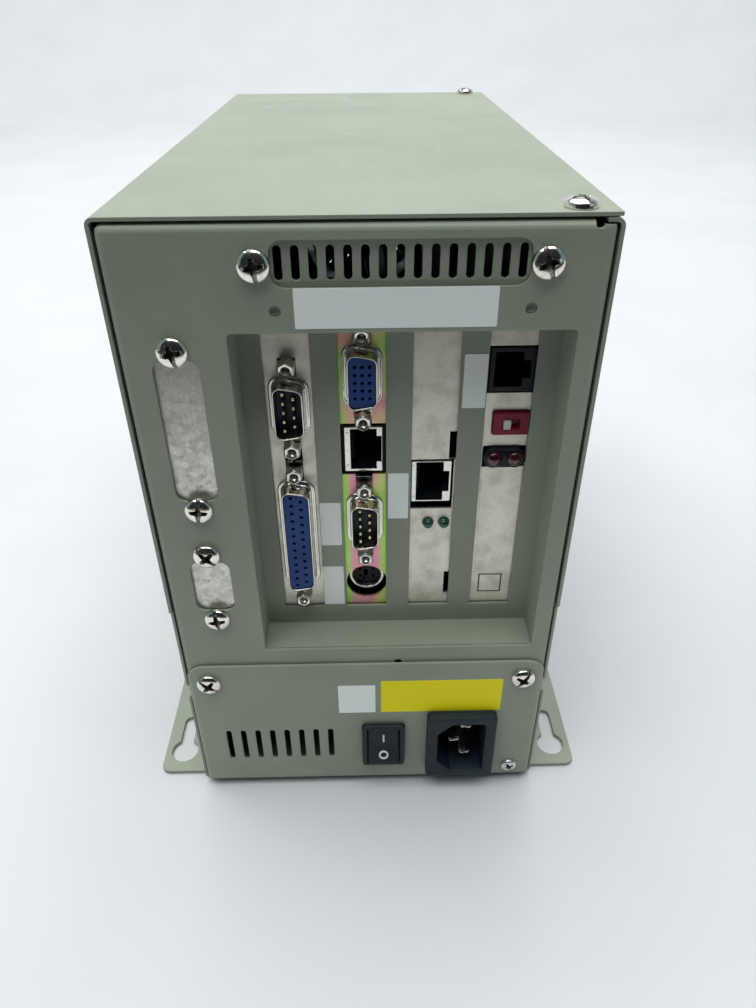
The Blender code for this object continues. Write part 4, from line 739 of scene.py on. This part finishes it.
def modularJack(node, wires, frame=None):
    # housing: a rounded box and the plug's outline, joined by a pierced face and carried straight back;
    # contacts: a circle carried along a bent path, repeated at an even pitch
    low, high = corners(node)
    middle = (low + high) / 2
    z, face = middle[2], low[1]
    floor = high[1] - 4.2 * mm
    half = (high[2] - low[2]) / 2
    shape = frame or {"left": 1.4, "right": 3.4, "notch": 1.2, "top": 1.5, "latch": 2.6}
    left = low[0] + (shape["left"] + shape.get("marginLeft", 0)) * mm
    right = high[0] - (shape["right"] + shape.get("marginRight", 0)) * mm
    notch = high[0] - (shape["notch"] + shape.get("marginRight", 0)) * mm
    tall = half - (shape["top"] + shape.get("marginEnd", 0)) * mm
    latch = shape["latch"] * mm
    mouth = jackMouth(left, right, notch, z, tall, latch)
    setBack = 0.9 * mm if frame else 0.0
    housing = boxLoop(middle[0], z, high[0] - low[0] - 0.1 * mm, 2 * half - 0.1 * mm, 0.35 * mm, 3)
    front = face + setBack
    skin = [sweptSolid(housing, [(0, high[1]), (0, front + 0.3 * mm), (0.08 * mm, front + 0.08 * mm),
                                 (0.3 * mm, front)], True, False),
            piercedFace(insetLoop(housing, 0.3 * mm), [insetLoop(mouth, -0.02 * mm)], front),
            sweptSolid(mouth, [(-0.02 * mm, front), (0, front + 0.1 * mm), (0, floor)], False)]
    putPiece(node + "_housing", skin, black, stands=[node], sharp=32)
    if frame:
        outer = roundedLoop([(low[0] + shape["marginLeft"] * mm, z - half + shape["marginEnd"] * mm),
                             (high[0] - shape["marginRight"] * mm, z - half + shape["marginEnd"] * mm),
                             (high[0] - shape["marginRight"] * mm, z + half - shape["marginEnd"] * mm),
                             (low[0] + shape["marginLeft"] * mm, z + half - shape["marginEnd"] * mm)], 0.3 * mm, 3)
        hole = jackMouth(left, right, notch, z, tall, latch)
        plate = [sweptSolid(outer, [(0, front + 0.1 * mm), (0, face + 0.2 * mm), (0.05 * mm, face + 0.06 * mm),
                                    (0.18 * mm, face)], False, False),
                 piercedFace(insetLoop(outer, 0.18 * mm), [insetLoop(hole, -0.12 * mm)], face),
                 sweptSolid(hole, [(-0.12 * mm, face), (-0.01 * mm, face + 0.1 * mm),
                                   (-0.01 * mm, face + 1.6 * mm)], False, False)]
        putPiece(node + "_shield", plate, shellNickel, sharp=32)
        dents = []
        for end in (-1, 1):
            # shallow pressed cups near the corners of the strip beside the mouth
            spot = (low[0] + (shape["marginLeft"] + 0.5 * shape["left"]) * mm, face, z + end * (tall - 1.2 * mm))
            cup = [(0.02 * mm, 0.02 * mm), (0.3 * mm, 0.015 * mm), (0.4 * mm, -0.04 * mm), (0.52 * mm, 0.01 * mm)]
            dents.append(turned(cup[::-1], spot, (0, -1, 0), 20))
        putPiece(node + "_dents", dents, shellNickel)
    strands = []
    pitch = jackLook["wirePitch"]
    for index in range(wires):
        height = z + (index - (wires - 1) / 2) * pitch
        bends = np.array([(left + 0.25 * mm, face + 2.0 * mm), (left + 0.6 * mm, face + 2.3 * mm),
                          (left + 1.5 * mm, face + 4.4 * mm),
                          (left + 2.4 * mm, floor - 1.2 * mm), (left + 2.6 * mm, floor)])
        strands.append(tube(np.column_stack([bends, np.full(len(bends), height)]), jackLook["wire"], 8))
    putPiece(node + "_contacts", strands, gold, sharp=50)
    # ribs of the contact comb between the wires
    comb = [slab((left, face + 2.6 * mm, z + (index - wires / 2) * pitch - 0.13 * mm),
                 (left + 0.9 * mm, floor, z + (index - wires / 2) * pitch + 0.13 * mm), 0.04 * mm)
            for index in range(wires + 1)]
    putPiece(node + "_comb", comb, black)


modularJack("network_jack_1", 8, {"marginLeft": 0.95, "marginRight": 1.0, "marginEnd": 0.75, "left": 1.75,
                                  "right": 1.7, "notch": 0.25, "top": 0.85, "latch": 4.2})
modularJack("network_jack_2", 8, {"marginLeft": 0.25, "marginRight": 0.3, "marginEnd": 0.15, "left": 1.6,
                                  "right": 2.4, "notch": 0.6, "top": 0.55, "latch": 3.5})
modularJack("link_jack", 6)


def keyboardJack():
    # collar: a ring's profile turned about the port's axis; insert: a disc pierced by the plug's circles and
    # key, each of them carried straight back
    low, high = corners("keyboard_jack")
    x = low[0] + 6.8 * mm
    z = (low[2] + high[2]) / 2
    face = low[1]
    ring = turned([(5.9 * mm, 2.6 * mm), (5.9 * mm, 0.3 * mm), (5.8 * mm, 0.08 * mm), (5.6 * mm, 0),
                   (4.9 * mm, 0), (4.75 * mm, 0.08 * mm),
                   (4.6 * mm, 0.3 * mm), (4.6 * mm, 5.3 * mm), (5.9 * mm, 5.3 * mm), (5.9 * mm, 2.6 * mm)],
                  (x, face, z), (0, 1, 0), 64)
    putPiece("keyboard_jack_collar", [ring], shellNickel, stands=["keyboard_jack"], sharp=50)
    floor = face + 1.7 * mm
    disc = circleLoop(x, z, 4.58 * mm, 64)
    turn = np.radians([35, 90 + 22, 145, 215, 270 - 22, 325])
    holes = [circleLoop(x + 2.6 * mm * math.cos(a), z + 2.6 * mm * math.sin(a), 0.5 * mm, 16) for a in turn]
    holes.append(boxLoop(x - 0.3 * mm, z, 1.3 * mm, 2.6 * mm, 0.1 * mm, 2))
    inner = insetLoop(disc, 0.1 * mm)
    front = [sweptSolid(disc, [(0, floor + 3.6 * mm), (0, floor + 0.1 * mm), (0.1 * mm, floor)], capLast=False),
             piercedFace(inner, holes, floor)]
    front += [sweptSolid(hole, [(0, floor), (0, floor + 3.2 * mm)], False) for hole in holes]
    putPiece("keyboard_jack_insert", front, black)
    putPiece("keyboard_jack_block", [slab((low[0], floor + 3.7 * mm, low[2]), high, 0.3 * mm)], black)


keyboardJack()
print("jacks made")


def domeLamp(name, x, z, face, radius, rise, finish, stands=()):
    # half an ellipse turned about the lamp's axis, with a narrow step at its foot
    turn = np.linspace(0, math.pi / 2, 14)
    profile = [(radius * math.sin(a), rise * math.cos(a)) for a in turn]
    profile += [(radius * 1.02, -0.2 * mm), (radius * 1.12, -0.3 * mm), (radius * 1.12, -2.0 * mm), (0, -2.0 * mm)]
    putPiece(name, [turned(profile, (x, face, z), (0, -1, 0), 36)], finish, stands=stands, sharp=50)


for node in ("network_lamp_left", "network_lamp_right"):
    low, high = corners(node)
    middle = (low + high) / 2
    domeLamp(node + "_dome", middle[0], middle[2], low[1] + 1.1 * mm, 1.45 * mm, 1.1 * mm, greenLens, [node])

low, high = corners("link_lamps")
middle = (low + high) / 2
lampFace = low[1] + 1.6 * mm
twin = np.vstack([circleLoop(middle[0] + 3.05 * mm, middle[2], 3.15 * mm, 48)[-14:],
                  circleLoop(middle[0] + 3.05 * mm, middle[2], 3.15 * mm, 48)[:15],
                  circleLoop(middle[0] - 3.05 * mm, middle[2], 3.15 * mm, 48)[10:39]])
putPiece("link_lamps_housing",
         [sweptSolid(twin, [(0.3 * mm, lampFace), (0, lampFace + 0.3 * mm), (0, high[1] - 0.1 * mm)])],
         black, stands=["link_lamps"], sharp=50)
for side in (-1, 1):
    domeLamp(f"link_lamp_{'left' if side < 0 else 'right'}", middle[0] + side * 3.05 * mm, middle[2], lampFace,
             2.35 * mm, 1.5 * mm, redLens)

softenedCopy("slide_switch", crimson, 0.00012)
softenedCopy("slide_switch_slider", ivory, 0.00012)
print("lamps made")


def mainsInlet():
    # flange and cavity: a rounded box and an outline with two cut corners, joined by a pierced face and
    # carried back; blades: rounded boxes carried forward to drawn-in tips
    low, high = corners("mains_inlet")
    middle = (low + high) / 2
    x, z, face = middle[0], middle[2], low[1]
    plate = face + 3.4 * mm
    floor = face + 14.5 * mm
    outline = boxLoop(x, z, high[0] - low[0], high[2] - low[2], 1.3 * mm, 6)
    wide2, tall2, cut = 8.25 * mm, 12.2 * mm, 5 * mm
    mouth = roundedLoop([(x - wide2 + cut, z - tall2), (x + wide2, z - tall2), (x + wide2, z + tall2),
                         (x - wide2 + cut, z + tall2), (x - wide2, z + tall2 - cut), (x - wide2, z - tall2 + cut)],
                        [0.5 * mm, 1.2 * mm, 1.2 * mm, 0.5 * mm, 0.6 * mm, 0.6 * mm], 5)
    body = boxLoop(x, z, 19.0 * mm, 26.9 * mm, 0.6 * mm)
    skin = [sweptSolid(outline, [(0.1 * mm, plate - 0.02 * mm), (0, plate - 0.15 * mm), (0, face + 0.5 * mm),
                                 (0.12 * mm, face + 0.16 * mm), (0.45 * mm, face)], False, False),
            piercedFace(insetLoop(outline, 0.1 * mm), [body], plate - 0.02 * mm),
            piercedFace(insetLoop(outline, 0.45 * mm), [insetLoop(mouth, -0.25 * mm)], face),
            sweptSolid(mouth, [(-0.25 * mm, face), (-0.06 * mm, face + 0.08 * mm), (0, face + 0.3 * mm),
                               (0, floor)], False),
            sweptSolid(body, [(0, plate - 0.02 * mm), (0, high[1] - 6.6 * mm)], False)]
    putPiece("mains_inlet_body", skin, navy, stands=["mains_inlet"], sharp=32)
    blades = []
    for px, pz in ((x - 2 * mm, z), (x + 2 * mm, z + 7 * mm), (x + 2 * mm, z - 7 * mm)):
        outlineBlade = boxLoop(px, pz, 4 * mm, 2 * mm, 0.15 * mm, 2)
        blades.append(sweptSolid(outlineBlade, [(0.6 * mm, face + 3.6 * mm), (0.22 * mm, face + 3.85 * mm),
                                                (0, face + 4.9 * mm), (0, high[1])]))
    putPiece("mains_inlet_blades", blades, shellNickel, sharp=32)


def rockerSwitch():
    # bezel and well: two rounded boxes joined by a pierced face, each carried back from the front
    low, high = corners("power_switch")
    middle = (low + high) / 2
    x, z, face = middle[0], middle[2], low[1]
    plate = face + 1.8 * mm
    outline = boxLoop(x, z, high[0] - low[0], high[2] - low[2], 1.3 * mm, 6)
    well = boxLoop(x, z, 11.4 * mm, 17.7 * mm, 0.3 * mm, 3)
    case = boxLoop(x, z, 13.0 * mm, 19.2 * mm, 0.4 * mm)
    skin = [sweptSolid(outline, [(0.1 * mm, plate - 0.02 * mm), (0, plate - 0.15 * mm), (0, face + 0.6 * mm),
                                 (0.15 * mm, face + 0.2 * mm), (0.55 * mm, face)], False, False),
            piercedFace(insetLoop(outline, 0.1 * mm), [case], plate - 0.02 * mm),
            piercedFace(insetLoop(outline, 0.55 * mm), [insetLoop(well, -0.3 * mm)], face),
            sweptSolid(well, [(-0.3 * mm, face), (-0.08 * mm, face + 0.08 * mm), (0, face + 0.35 * mm),
                              (0, face + 10 * mm)], False),
            sweptSolid(case, [(0, plate - 0.02 * mm), (0, plate + 13.5 * mm)], False)]
    putPiece("power_switch_bezel", skin, black, stands=["power_switch"], sharp=32)
    tabs = [slab((x - 2.4 * mm, plate + 13.4 * mm, z + side * 4 * mm - 0.4 * mm),
                 (x + 2.4 * mm, high[1], z + side * 4 * mm + 0.4 * mm), 0.1 * mm) for side in (-1, 1)]
    putPiece("power_switch_tabs", tabs, shellNickel)


def rocker():
    # the paddle's side view (y, z) about its pin, rounded, carried along X with its ends drawn in;
    # then tilted to its rest
    joint = next(one for one in frame["joints"] if one["name"] == "rocker_tilt")
    pin = np.array(joint["pos_m"])
    tilt = math.radians(-8)
    half = 8 * mm
    side = roundedLoop([(-4.5 * mm, -half), (-3.35 * mm, -0.3 * mm), (-4.5 * mm, half), (0.6 * mm, half),
                        (3.6 * mm, 3.4 * mm), (3.6 * mm, -3.4 * mm), (0.6 * mm, -half)],
                       [0.5 * mm, 9 * mm, 0.5 * mm, 0.3 * mm, 0.5 * mm, 0.5 * mm, 0.3 * mm], 8)
    wide2 = 5.4 * mm
    ends = [(0.35 * mm, -wide2), (0.1 * mm, -wide2 + 0.1 * mm), (0, -wide2 + 0.35 * mm), (0, wide2 - 0.35 * mm),
            (0.1 * mm, wide2 - 0.1 * mm), (0.35 * mm, wide2)]
    rings = np.stack([np.insert(insetLoop(side, inset), 0, across, axis=1) for inset, across in ends])

    def settle(points):
        y = points[..., 1] * math.cos(tilt) - points[..., 2] * math.sin(tilt)
        z = points[..., 1] * math.sin(tilt) + points[..., 2] * math.cos(tilt)
        return np.stack([points[..., 0], y, z], -1) + pin

    putPiece("switch_rocker_paddle", [patch(settle(rings), wrapCols=True, capFirst=True, capLast=True)], black,
             "rocker", ["switch_rocker"], 36)
    slope = math.atan2(1.15, 7.7)

    def onFace(across, height, lift):
        depth = -3.42 * mm - (np.abs(height) - 0.3 * mm) * math.tan(slope) - lift
        return np.stack([across, depth, height], -1)

    bar = boxLoop(0, 3.1 * mm, 0.6 * mm, 3.9 * mm, 0.28 * mm, 6)
    turn = np.arange(48) * math.tau / 48
    marks = []
    stack = np.stack([onFace(bar[:, 0], bar[:, 1], lift) for lift in (-0.05 * mm, 0.05 * mm)])
    marks.append(patch(settle(stack), wrapCols=True, capFirst=True, capLast=True))
    radii = np.array([1.72, 1.72, 1.65, 1.13, 1.06, 1.06])[:, None] * mm
    lifts = np.array([-0.1, 0.1, 0.16, 0.16, 0.1, -0.1])[:, None] * mm
    ring = onFace(radii * np.cos(turn), -4.4 * mm + radii * np.sin(turn), lifts + 0 * turn)
    marks.append(patch(settle(ring), wrapRows=True, wrapCols=True))
    putPiece("switch_rocker_marks", marks, ink, "rocker")


mainsInlet()
rockerSwitch()
rocker()
print("inlet and switch made")


def panelDimples():
    # a shallow dish: depth follows the square of the radius, with a flat collar behind the sheet
    low, high = corners("front_panel")
    pocketLow, pocketHigh = corners("slot_pocket")
    height = pocketHigh[2] - 1.2 * mm
    dishes = []
    for x in (-20.0 * mm, 41.4 * mm):
        share = np.linspace(0, 1, 8)
        profile = [(1.46 * mm * float(r), -1.05 * mm + 0.35 * mm * float(r * r)) for r in share]
        profile += [(1.46 * mm, -0.95 * mm), (1.3 * mm, -1.25 * mm), (0, -1.25 * mm)]
        dishes.append(turned(profile, (x, low[1], height), (0, -1, 0), 32))
    putPiece("panel_dimples", dishes, paint)


panelDimples()


frontLow, frontHigh = corners("front_panel")
pocketLow, pocketHigh = corners("slot_pocket")
plateLow, plateHigh = corners("power_cover_plate")
slotFace = pocketHigh[1] - 1.0 * mm
labels = {
    "label_front": (whiteLabel, (-15.4, 33.4), (176.3, 186.2), frontLow[1], 0.4),
    "label_slot_1": (whiteLabel, (-13.2, -6.8), (100.5, 116.4), slotFace, 0.3),
    "label_slot_2": (whiteLabel, (-13.3, -6.7), (76.0, 91.9), slotFace, 0.3),
    "label_slot_3": (whiteLabel, (7.5, 13.6), (110.4, 126.6), slotFace, 0.3),
    "label_slot_4": (whiteLabel, (28.0, 34.4), (147.7, 163.7), slotFace, 0.3),
    "label_power_white": (whiteLabel, (-9.6, 2.9), (38.9, 52.2), plateLow[1], 0.3),
    "label_power_yellow": (yellowLabel, (4.8, 45.7), (38.95, 54.1), plateLow[1], 0.3),
}
for name, (finish, (left, right), (bottom, top), surface, radius) in labels.items():
    loop = boxLoop((left + right) / 2 * mm, (bottom + top) / 2 * mm, (right - left) * mm, (top - bottom) * mm,
                   radius * mm, 4)
    thick = 0.12 * mm
    putPiece(name, [sweptSolid(loop, [(0, surface + 0.02 * mm), (0, surface - thick + 0.03 * mm),
                                      (0.04 * mm, surface - thick)])], finish, sharp=20)


def printedSquare():
    # a plain square outline printed low on the last bracket: two loops a line's width apart, raised a little
    low, high = corners("card_bracket_4")
    face = high[1] - 0.9 * mm
    middleX, middleZ, side, line = 40.9 * mm, 83.0 * mm, 7.6 * mm, 0.42 * mm
    outer = boxLoop(middleX, middleZ, side, side, 0.2 * mm, 2)
    levels = [(0, face + 0.02 * mm), (0, face - 0.03 * mm), (line, face - 0.03 * mm), (line, face + 0.02 * mm)]
    putPiece("printed_square", [patch(sweepRound(outer, levels), wrapRows=True, wrapCols=True)], black, sharp=20)


printedSquare()
print("labels placed")


def sharedOut(node, finish, name, wanted, stands):
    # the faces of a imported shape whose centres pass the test, as a softened piece of their own
    source = nodes[node]
    mesh = source.data.copy()
    shape = bmesh.new()
    shape.from_mesh(mesh)
    bmesh.ops.remove_doubles(shape, verts=shape.verts, dist=2e-6)
    bmesh.ops.delete(shape, geom=[face for face in shape.faces if not wanted(face.calc_center_median())],
                     context="FACES")
    bmesh.ops.holes_fill(shape, edges=shape.edges, sides=0)
    bmesh.ops.recalc_face_normals(shape, faces=shape.faces)
    shape.to_mesh(mesh)
    shape.free()
    mesh.shade_smooth()
    mesh.set_sharp_from_angle(angle=math.radians(34))
    mesh.materials.clear()
    mesh.materials.append(finish.material)
    piece = bpy.data.objects.new(name, mesh)
    scene.collection.objects.link(piece)
    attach(piece, source["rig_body"])
    if stands:
        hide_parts(node)
    return piece


boardLook = {"thick": 1.6 * mm, "seed": 11, "parts": 150, "keep": 9 * mm}
chipBlack = moulded("chipBlack", "circuit_board", (0.012, 0.012, 0.013, 1), 0.42)
ceramic = moulded("ceramicTan", "circuit_board", (0.42, 0.32, 0.2, 1), 0.45)
canSilver = nickel("canSilver", (0.66, 0.67, 0.68, 1), 0.22)


def boardPieces(node):
    # the laminate keeps the faces at and behind its left face; the chips are the rest
    low, high = corners(node)
    face = high[0] - boardLook["thick"]
    sharedOut(node, boardGreen, node + "_laminate", lambda centre: centre.x > face - 0.05 * mm, True)
    sharedOut(node, chipBlack, node + "_chips", lambda centre: centre.x <= face - 0.05 * mm, False)


def boardParts(node):
    # small boxes and turned cans in rows on the right face; the places come from a seeded table, and a part
    # that falls within 4.2 mm of the one before it in its row is left out
    low, high = corners(node)
    rng = np.random.default_rng(boardLook["seed"] + len(node))
    count = boardLook["parts"]
    rows = np.linspace(low[2] + 16 * mm, high[2] - 6 * mm, 11)
    y = rng.uniform(low[1] + boardLook["keep"], high[1] - boardLook["keep"], count)
    z = rows[rng.integers(0, len(rows), count)]
    order = np.lexsort((y, z))
    y, z = y[order], z[order]
    keep = np.append(True, (np.diff(y) > 4.2 * mm) | (np.abs(np.diff(z)) > 1 * mm))
    kinds = rng.integers(0, 5, count)
    groups = {"resistors": [], "ceramics": [], "cans": []}
    for py, pz, kind in zip(y[keep], z[keep], kinds[keep]):
        if kind < 2:
            groups["resistors"].append(slab((high[0] + 0.01 * mm, py - 1.0 * mm, pz - 0.6 * mm),
                                            (high[0] + 0.6 * mm, py + 1.0 * mm, pz + 0.6 * mm), 0.08 * mm))
        elif kind < 4:
            groups["ceramics"].append(slab((high[0] + 0.01 * mm, py - 0.8 * mm, pz - 1.2 * mm),
                                           (high[0] + 1.0 * mm, py + 0.8 * mm, pz + 1.2 * mm), 0.12 * mm))
        elif len(groups["cans"]) < 9:
            can = [(0, 4.6 * mm), (1.9 * mm, 4.6 * mm), (2.1 * mm, 4.4 * mm), (2.1 * mm, 1.1 * mm),
                   (1.9 * mm, 0.95 * mm), (2.1 * mm, 0.8 * mm), (2.1 * mm, 0), (0, 0)]
            groups["cans"].append(turned(can, (high[0] + 0.01 * mm, py, pz), (1, 0, 0), 20))
    finishes = {"resistors": chipBlack, "ceramics": ceramic, "cans": canSilver}
    for kind, patches in groups.items():
        if patches:
            putPiece(f"{node}_{kind}", patches, finishes[kind], sharp=40)


for node in ("processor_board", "network_board", "link_board"):
    boardPieces(node)
    boardParts(node)
for node in ("backplane", "power_board"):
    softenedCopy(node, boardDark, 0.00008, 1)
for node in ("slot_connector_2", "slot_connector_3", "slot_connector_4"):
    softenedCopy(node, ivory, 0.0002)
softenedCopy("slot_connector_1", black, 0.0002)
softenedCopy("processor_heat_sink", anodised, 0.0002)
softenedCopy("power_heat_sink", extrusion, 0.0002)
softenedCopy("power_capacitor", darkInsert, 0.0004, 3)
softenedCopy("power_transformer", ironStack, 0.0002)
softenedCopy("fan_frame", black, 0.0003)
softenedCopy("fan_rotor", black, 0.0002)
print("inside finished")


floorLook = {"flat": 1.6, "turn": 0.7, "top": 2.8, "spokes": 96, "backShare": 0.2}


def studioFloor():
    # a profile of (radius, height) turned about +Z: flat, then a quarter circle up, then straight;
    # the wall behind the object bounces light on it, and the rest of the wall only closes the view
    look = floorLook
    turn = np.linspace(0, math.pi / 2, 24)
    radius = np.concatenate([[0.4], look["flat"] + look["turn"] * np.sin(turn), [look["flat"] + look["turn"]]])
    height = np.concatenate([[0.0], look["turn"] - look["turn"] * np.cos(turn), [look["top"]]])
    angle = np.arange(look["spokes"]) * math.tau / look["spokes"]
    grid = np.stack([radius[:, None] * np.cos(angle), radius[:, None] * np.sin(angle),
                     height[:, None] + 0 * angle - 0.00005], -1)
    spots, (quads, cap) = patch(grid, wrapCols=True, capFirst=True)
    middles = spots[quads].mean(1)
    flat = middles[:, 2] < 1e-6
    behind = middles[:, 1] > look["backShare"] * np.hypot(middles[:, 0], middles[:, 1])
    cloth = Finish("floorCloth", "painted_steel", Roughness=0.85)
    soft = cloth.noise(7, 3.0, 0.55)
    cloth.feed("Base Color", cloth.blend((0.62, 0.622, 0.632, 1), (0.595, 0.598, 0.61, 1), soft.step(0.35, 0.7)))
    cloth.bump(soft + 0.01 * cloth.noise(900, 2.0), 0.1, 0.01)
    for name, faces in (("floor", quads[flat | behind].tolist() + cap.tolist()),
                        ("surround", quads[~(flat | behind)].tolist())):
        mesh = bpy.data.meshes.new(name)
        mesh.from_pydata(spots.tolist(), [], faces)
        mesh.shade_smooth()
        mesh.materials.append(cloth.material)
        sheet = bpy.data.objects.new(name, mesh)
        scene.collection.objects.link(sheet)
        if name == "surround":
            sheet.visible_diffuse = False
            sheet.visible_glossy = False
            sheet.visible_shadow = False


lightLook = {
    "skyStrength": 0.27,
    "top": {"power": 62.0, "size": 2.3, "place": (-0.18, 0.04, 1.9), "aim": (0, 0.1, 0)},
    "back": {"power": 12.0, "size": 1.2, "place": (0.0, 1.2, 1.7), "aim": (0, 2.3, 0.4)},
    "mirrorFlag": {"half": 1.1, "near": -0.43, "far": -1.1, "low": 0.001, "top": 1.5, "mirrored": True},
    "shadeFlag": {"half": 0.8, "near": -0.37, "far": -1.0, "low": 0.002, "top": 1.2, "mirrored": False},
}


def areaLight(name, power, size, place, aim=(0, 0, 0.1)):
    # a square lamp turned to look at a point
    lamp = bpy.data.lights.new(name, "AREA")
    lamp.energy = power
    lamp.size = size
    held = bpy.data.objects.new(name, lamp)
    held.location = place
    held.rotation_euler = (Vector(aim) - Vector(place)).to_track_quat("-Z", "Y").to_euler()
    scene.collection.objects.link(held)


def darkFlag(name):
    # black cloth laid out before the camera and hung up behind it, a strip along three lines: one is
    # seen only in reflections, the other only takes bounced light away, off the object's front and the floor there
    look = lightLook[name]
    lines = [(look["near"], look["low"]), (look["far"], look["low"]), (look["far"], look["top"])]
    grid = np.array([[(-look["half"], y, z), (look["half"], y, z)] for y, z in lines])
    spots, blocks = patch(grid)
    mesh = bpy.data.meshes.new(name)
    mesh.from_pydata(spots.tolist(), [], blocks[0].tolist())
    screen = bpy.data.objects.new(name, mesh)
    scene.collection.objects.link(screen)
    cloth = Finish(name + "Cloth", "painted_steel", Roughness=0.9)
    cloth.feed("Base Color", cloth.blend((0.01, 0.01, 0.011, 1), (0.02, 0.02, 0.022, 1), cloth.noise(8)))
    mesh.materials.append(cloth.material)
    screen.visible_camera = False
    screen.visible_shadow = False
    screen.visible_diffuse = not look["mirrored"]
    screen.visible_glossy = look["mirrored"]


def studio():
    world = bpy.data.worlds.new("studio")
    world.use_nodes = True
    back = world.node_tree.nodes["Background"]
    back.inputs["Color"].default_value = (0.58, 0.9, 1.0, 1)
    back.inputs["Strength"].default_value = lightLook["skyStrength"]
    scene.world = world
    areaLight("topLight", **lightLook["top"])
    areaLight("backLight", **lightLook["back"])
    darkFlag("mirrorFlag")
    darkFlag("shadeFlag")
    scene.view_settings.view_transform = "Standard"
    scene.view_settings.look = "None"


def frontCamera():
    look = {"place": (0.0016, -0.29552, 0.24341), "yaw": 0.89, "pitch": 34.37, "roll": -0.42, "lens": 26.737}
    lensData = bpy.data.cameras.new("camera")
    lensData.sensor_width = 36
    lensData.lens = look["lens"]
    lensData.clip_start = 0.01
    held = bpy.data.objects.new("camera", lensData)
    turnYaw = Matrix.Rotation(math.radians(-look["yaw"]), 4, "Z")
    tip = Matrix.Rotation(math.radians(90 - look["pitch"]), 4, "X")
    roll = Matrix.Rotation(math.radians(look["roll"]), 4, "Z")
    held.matrix_world = Matrix.Translation(look["place"]) @ turnYaw @ tip @ roll
    scene.collection.objects.link(held)
    scene.camera = held


studioFloor()
studio()
frontCamera()
print("stage set")
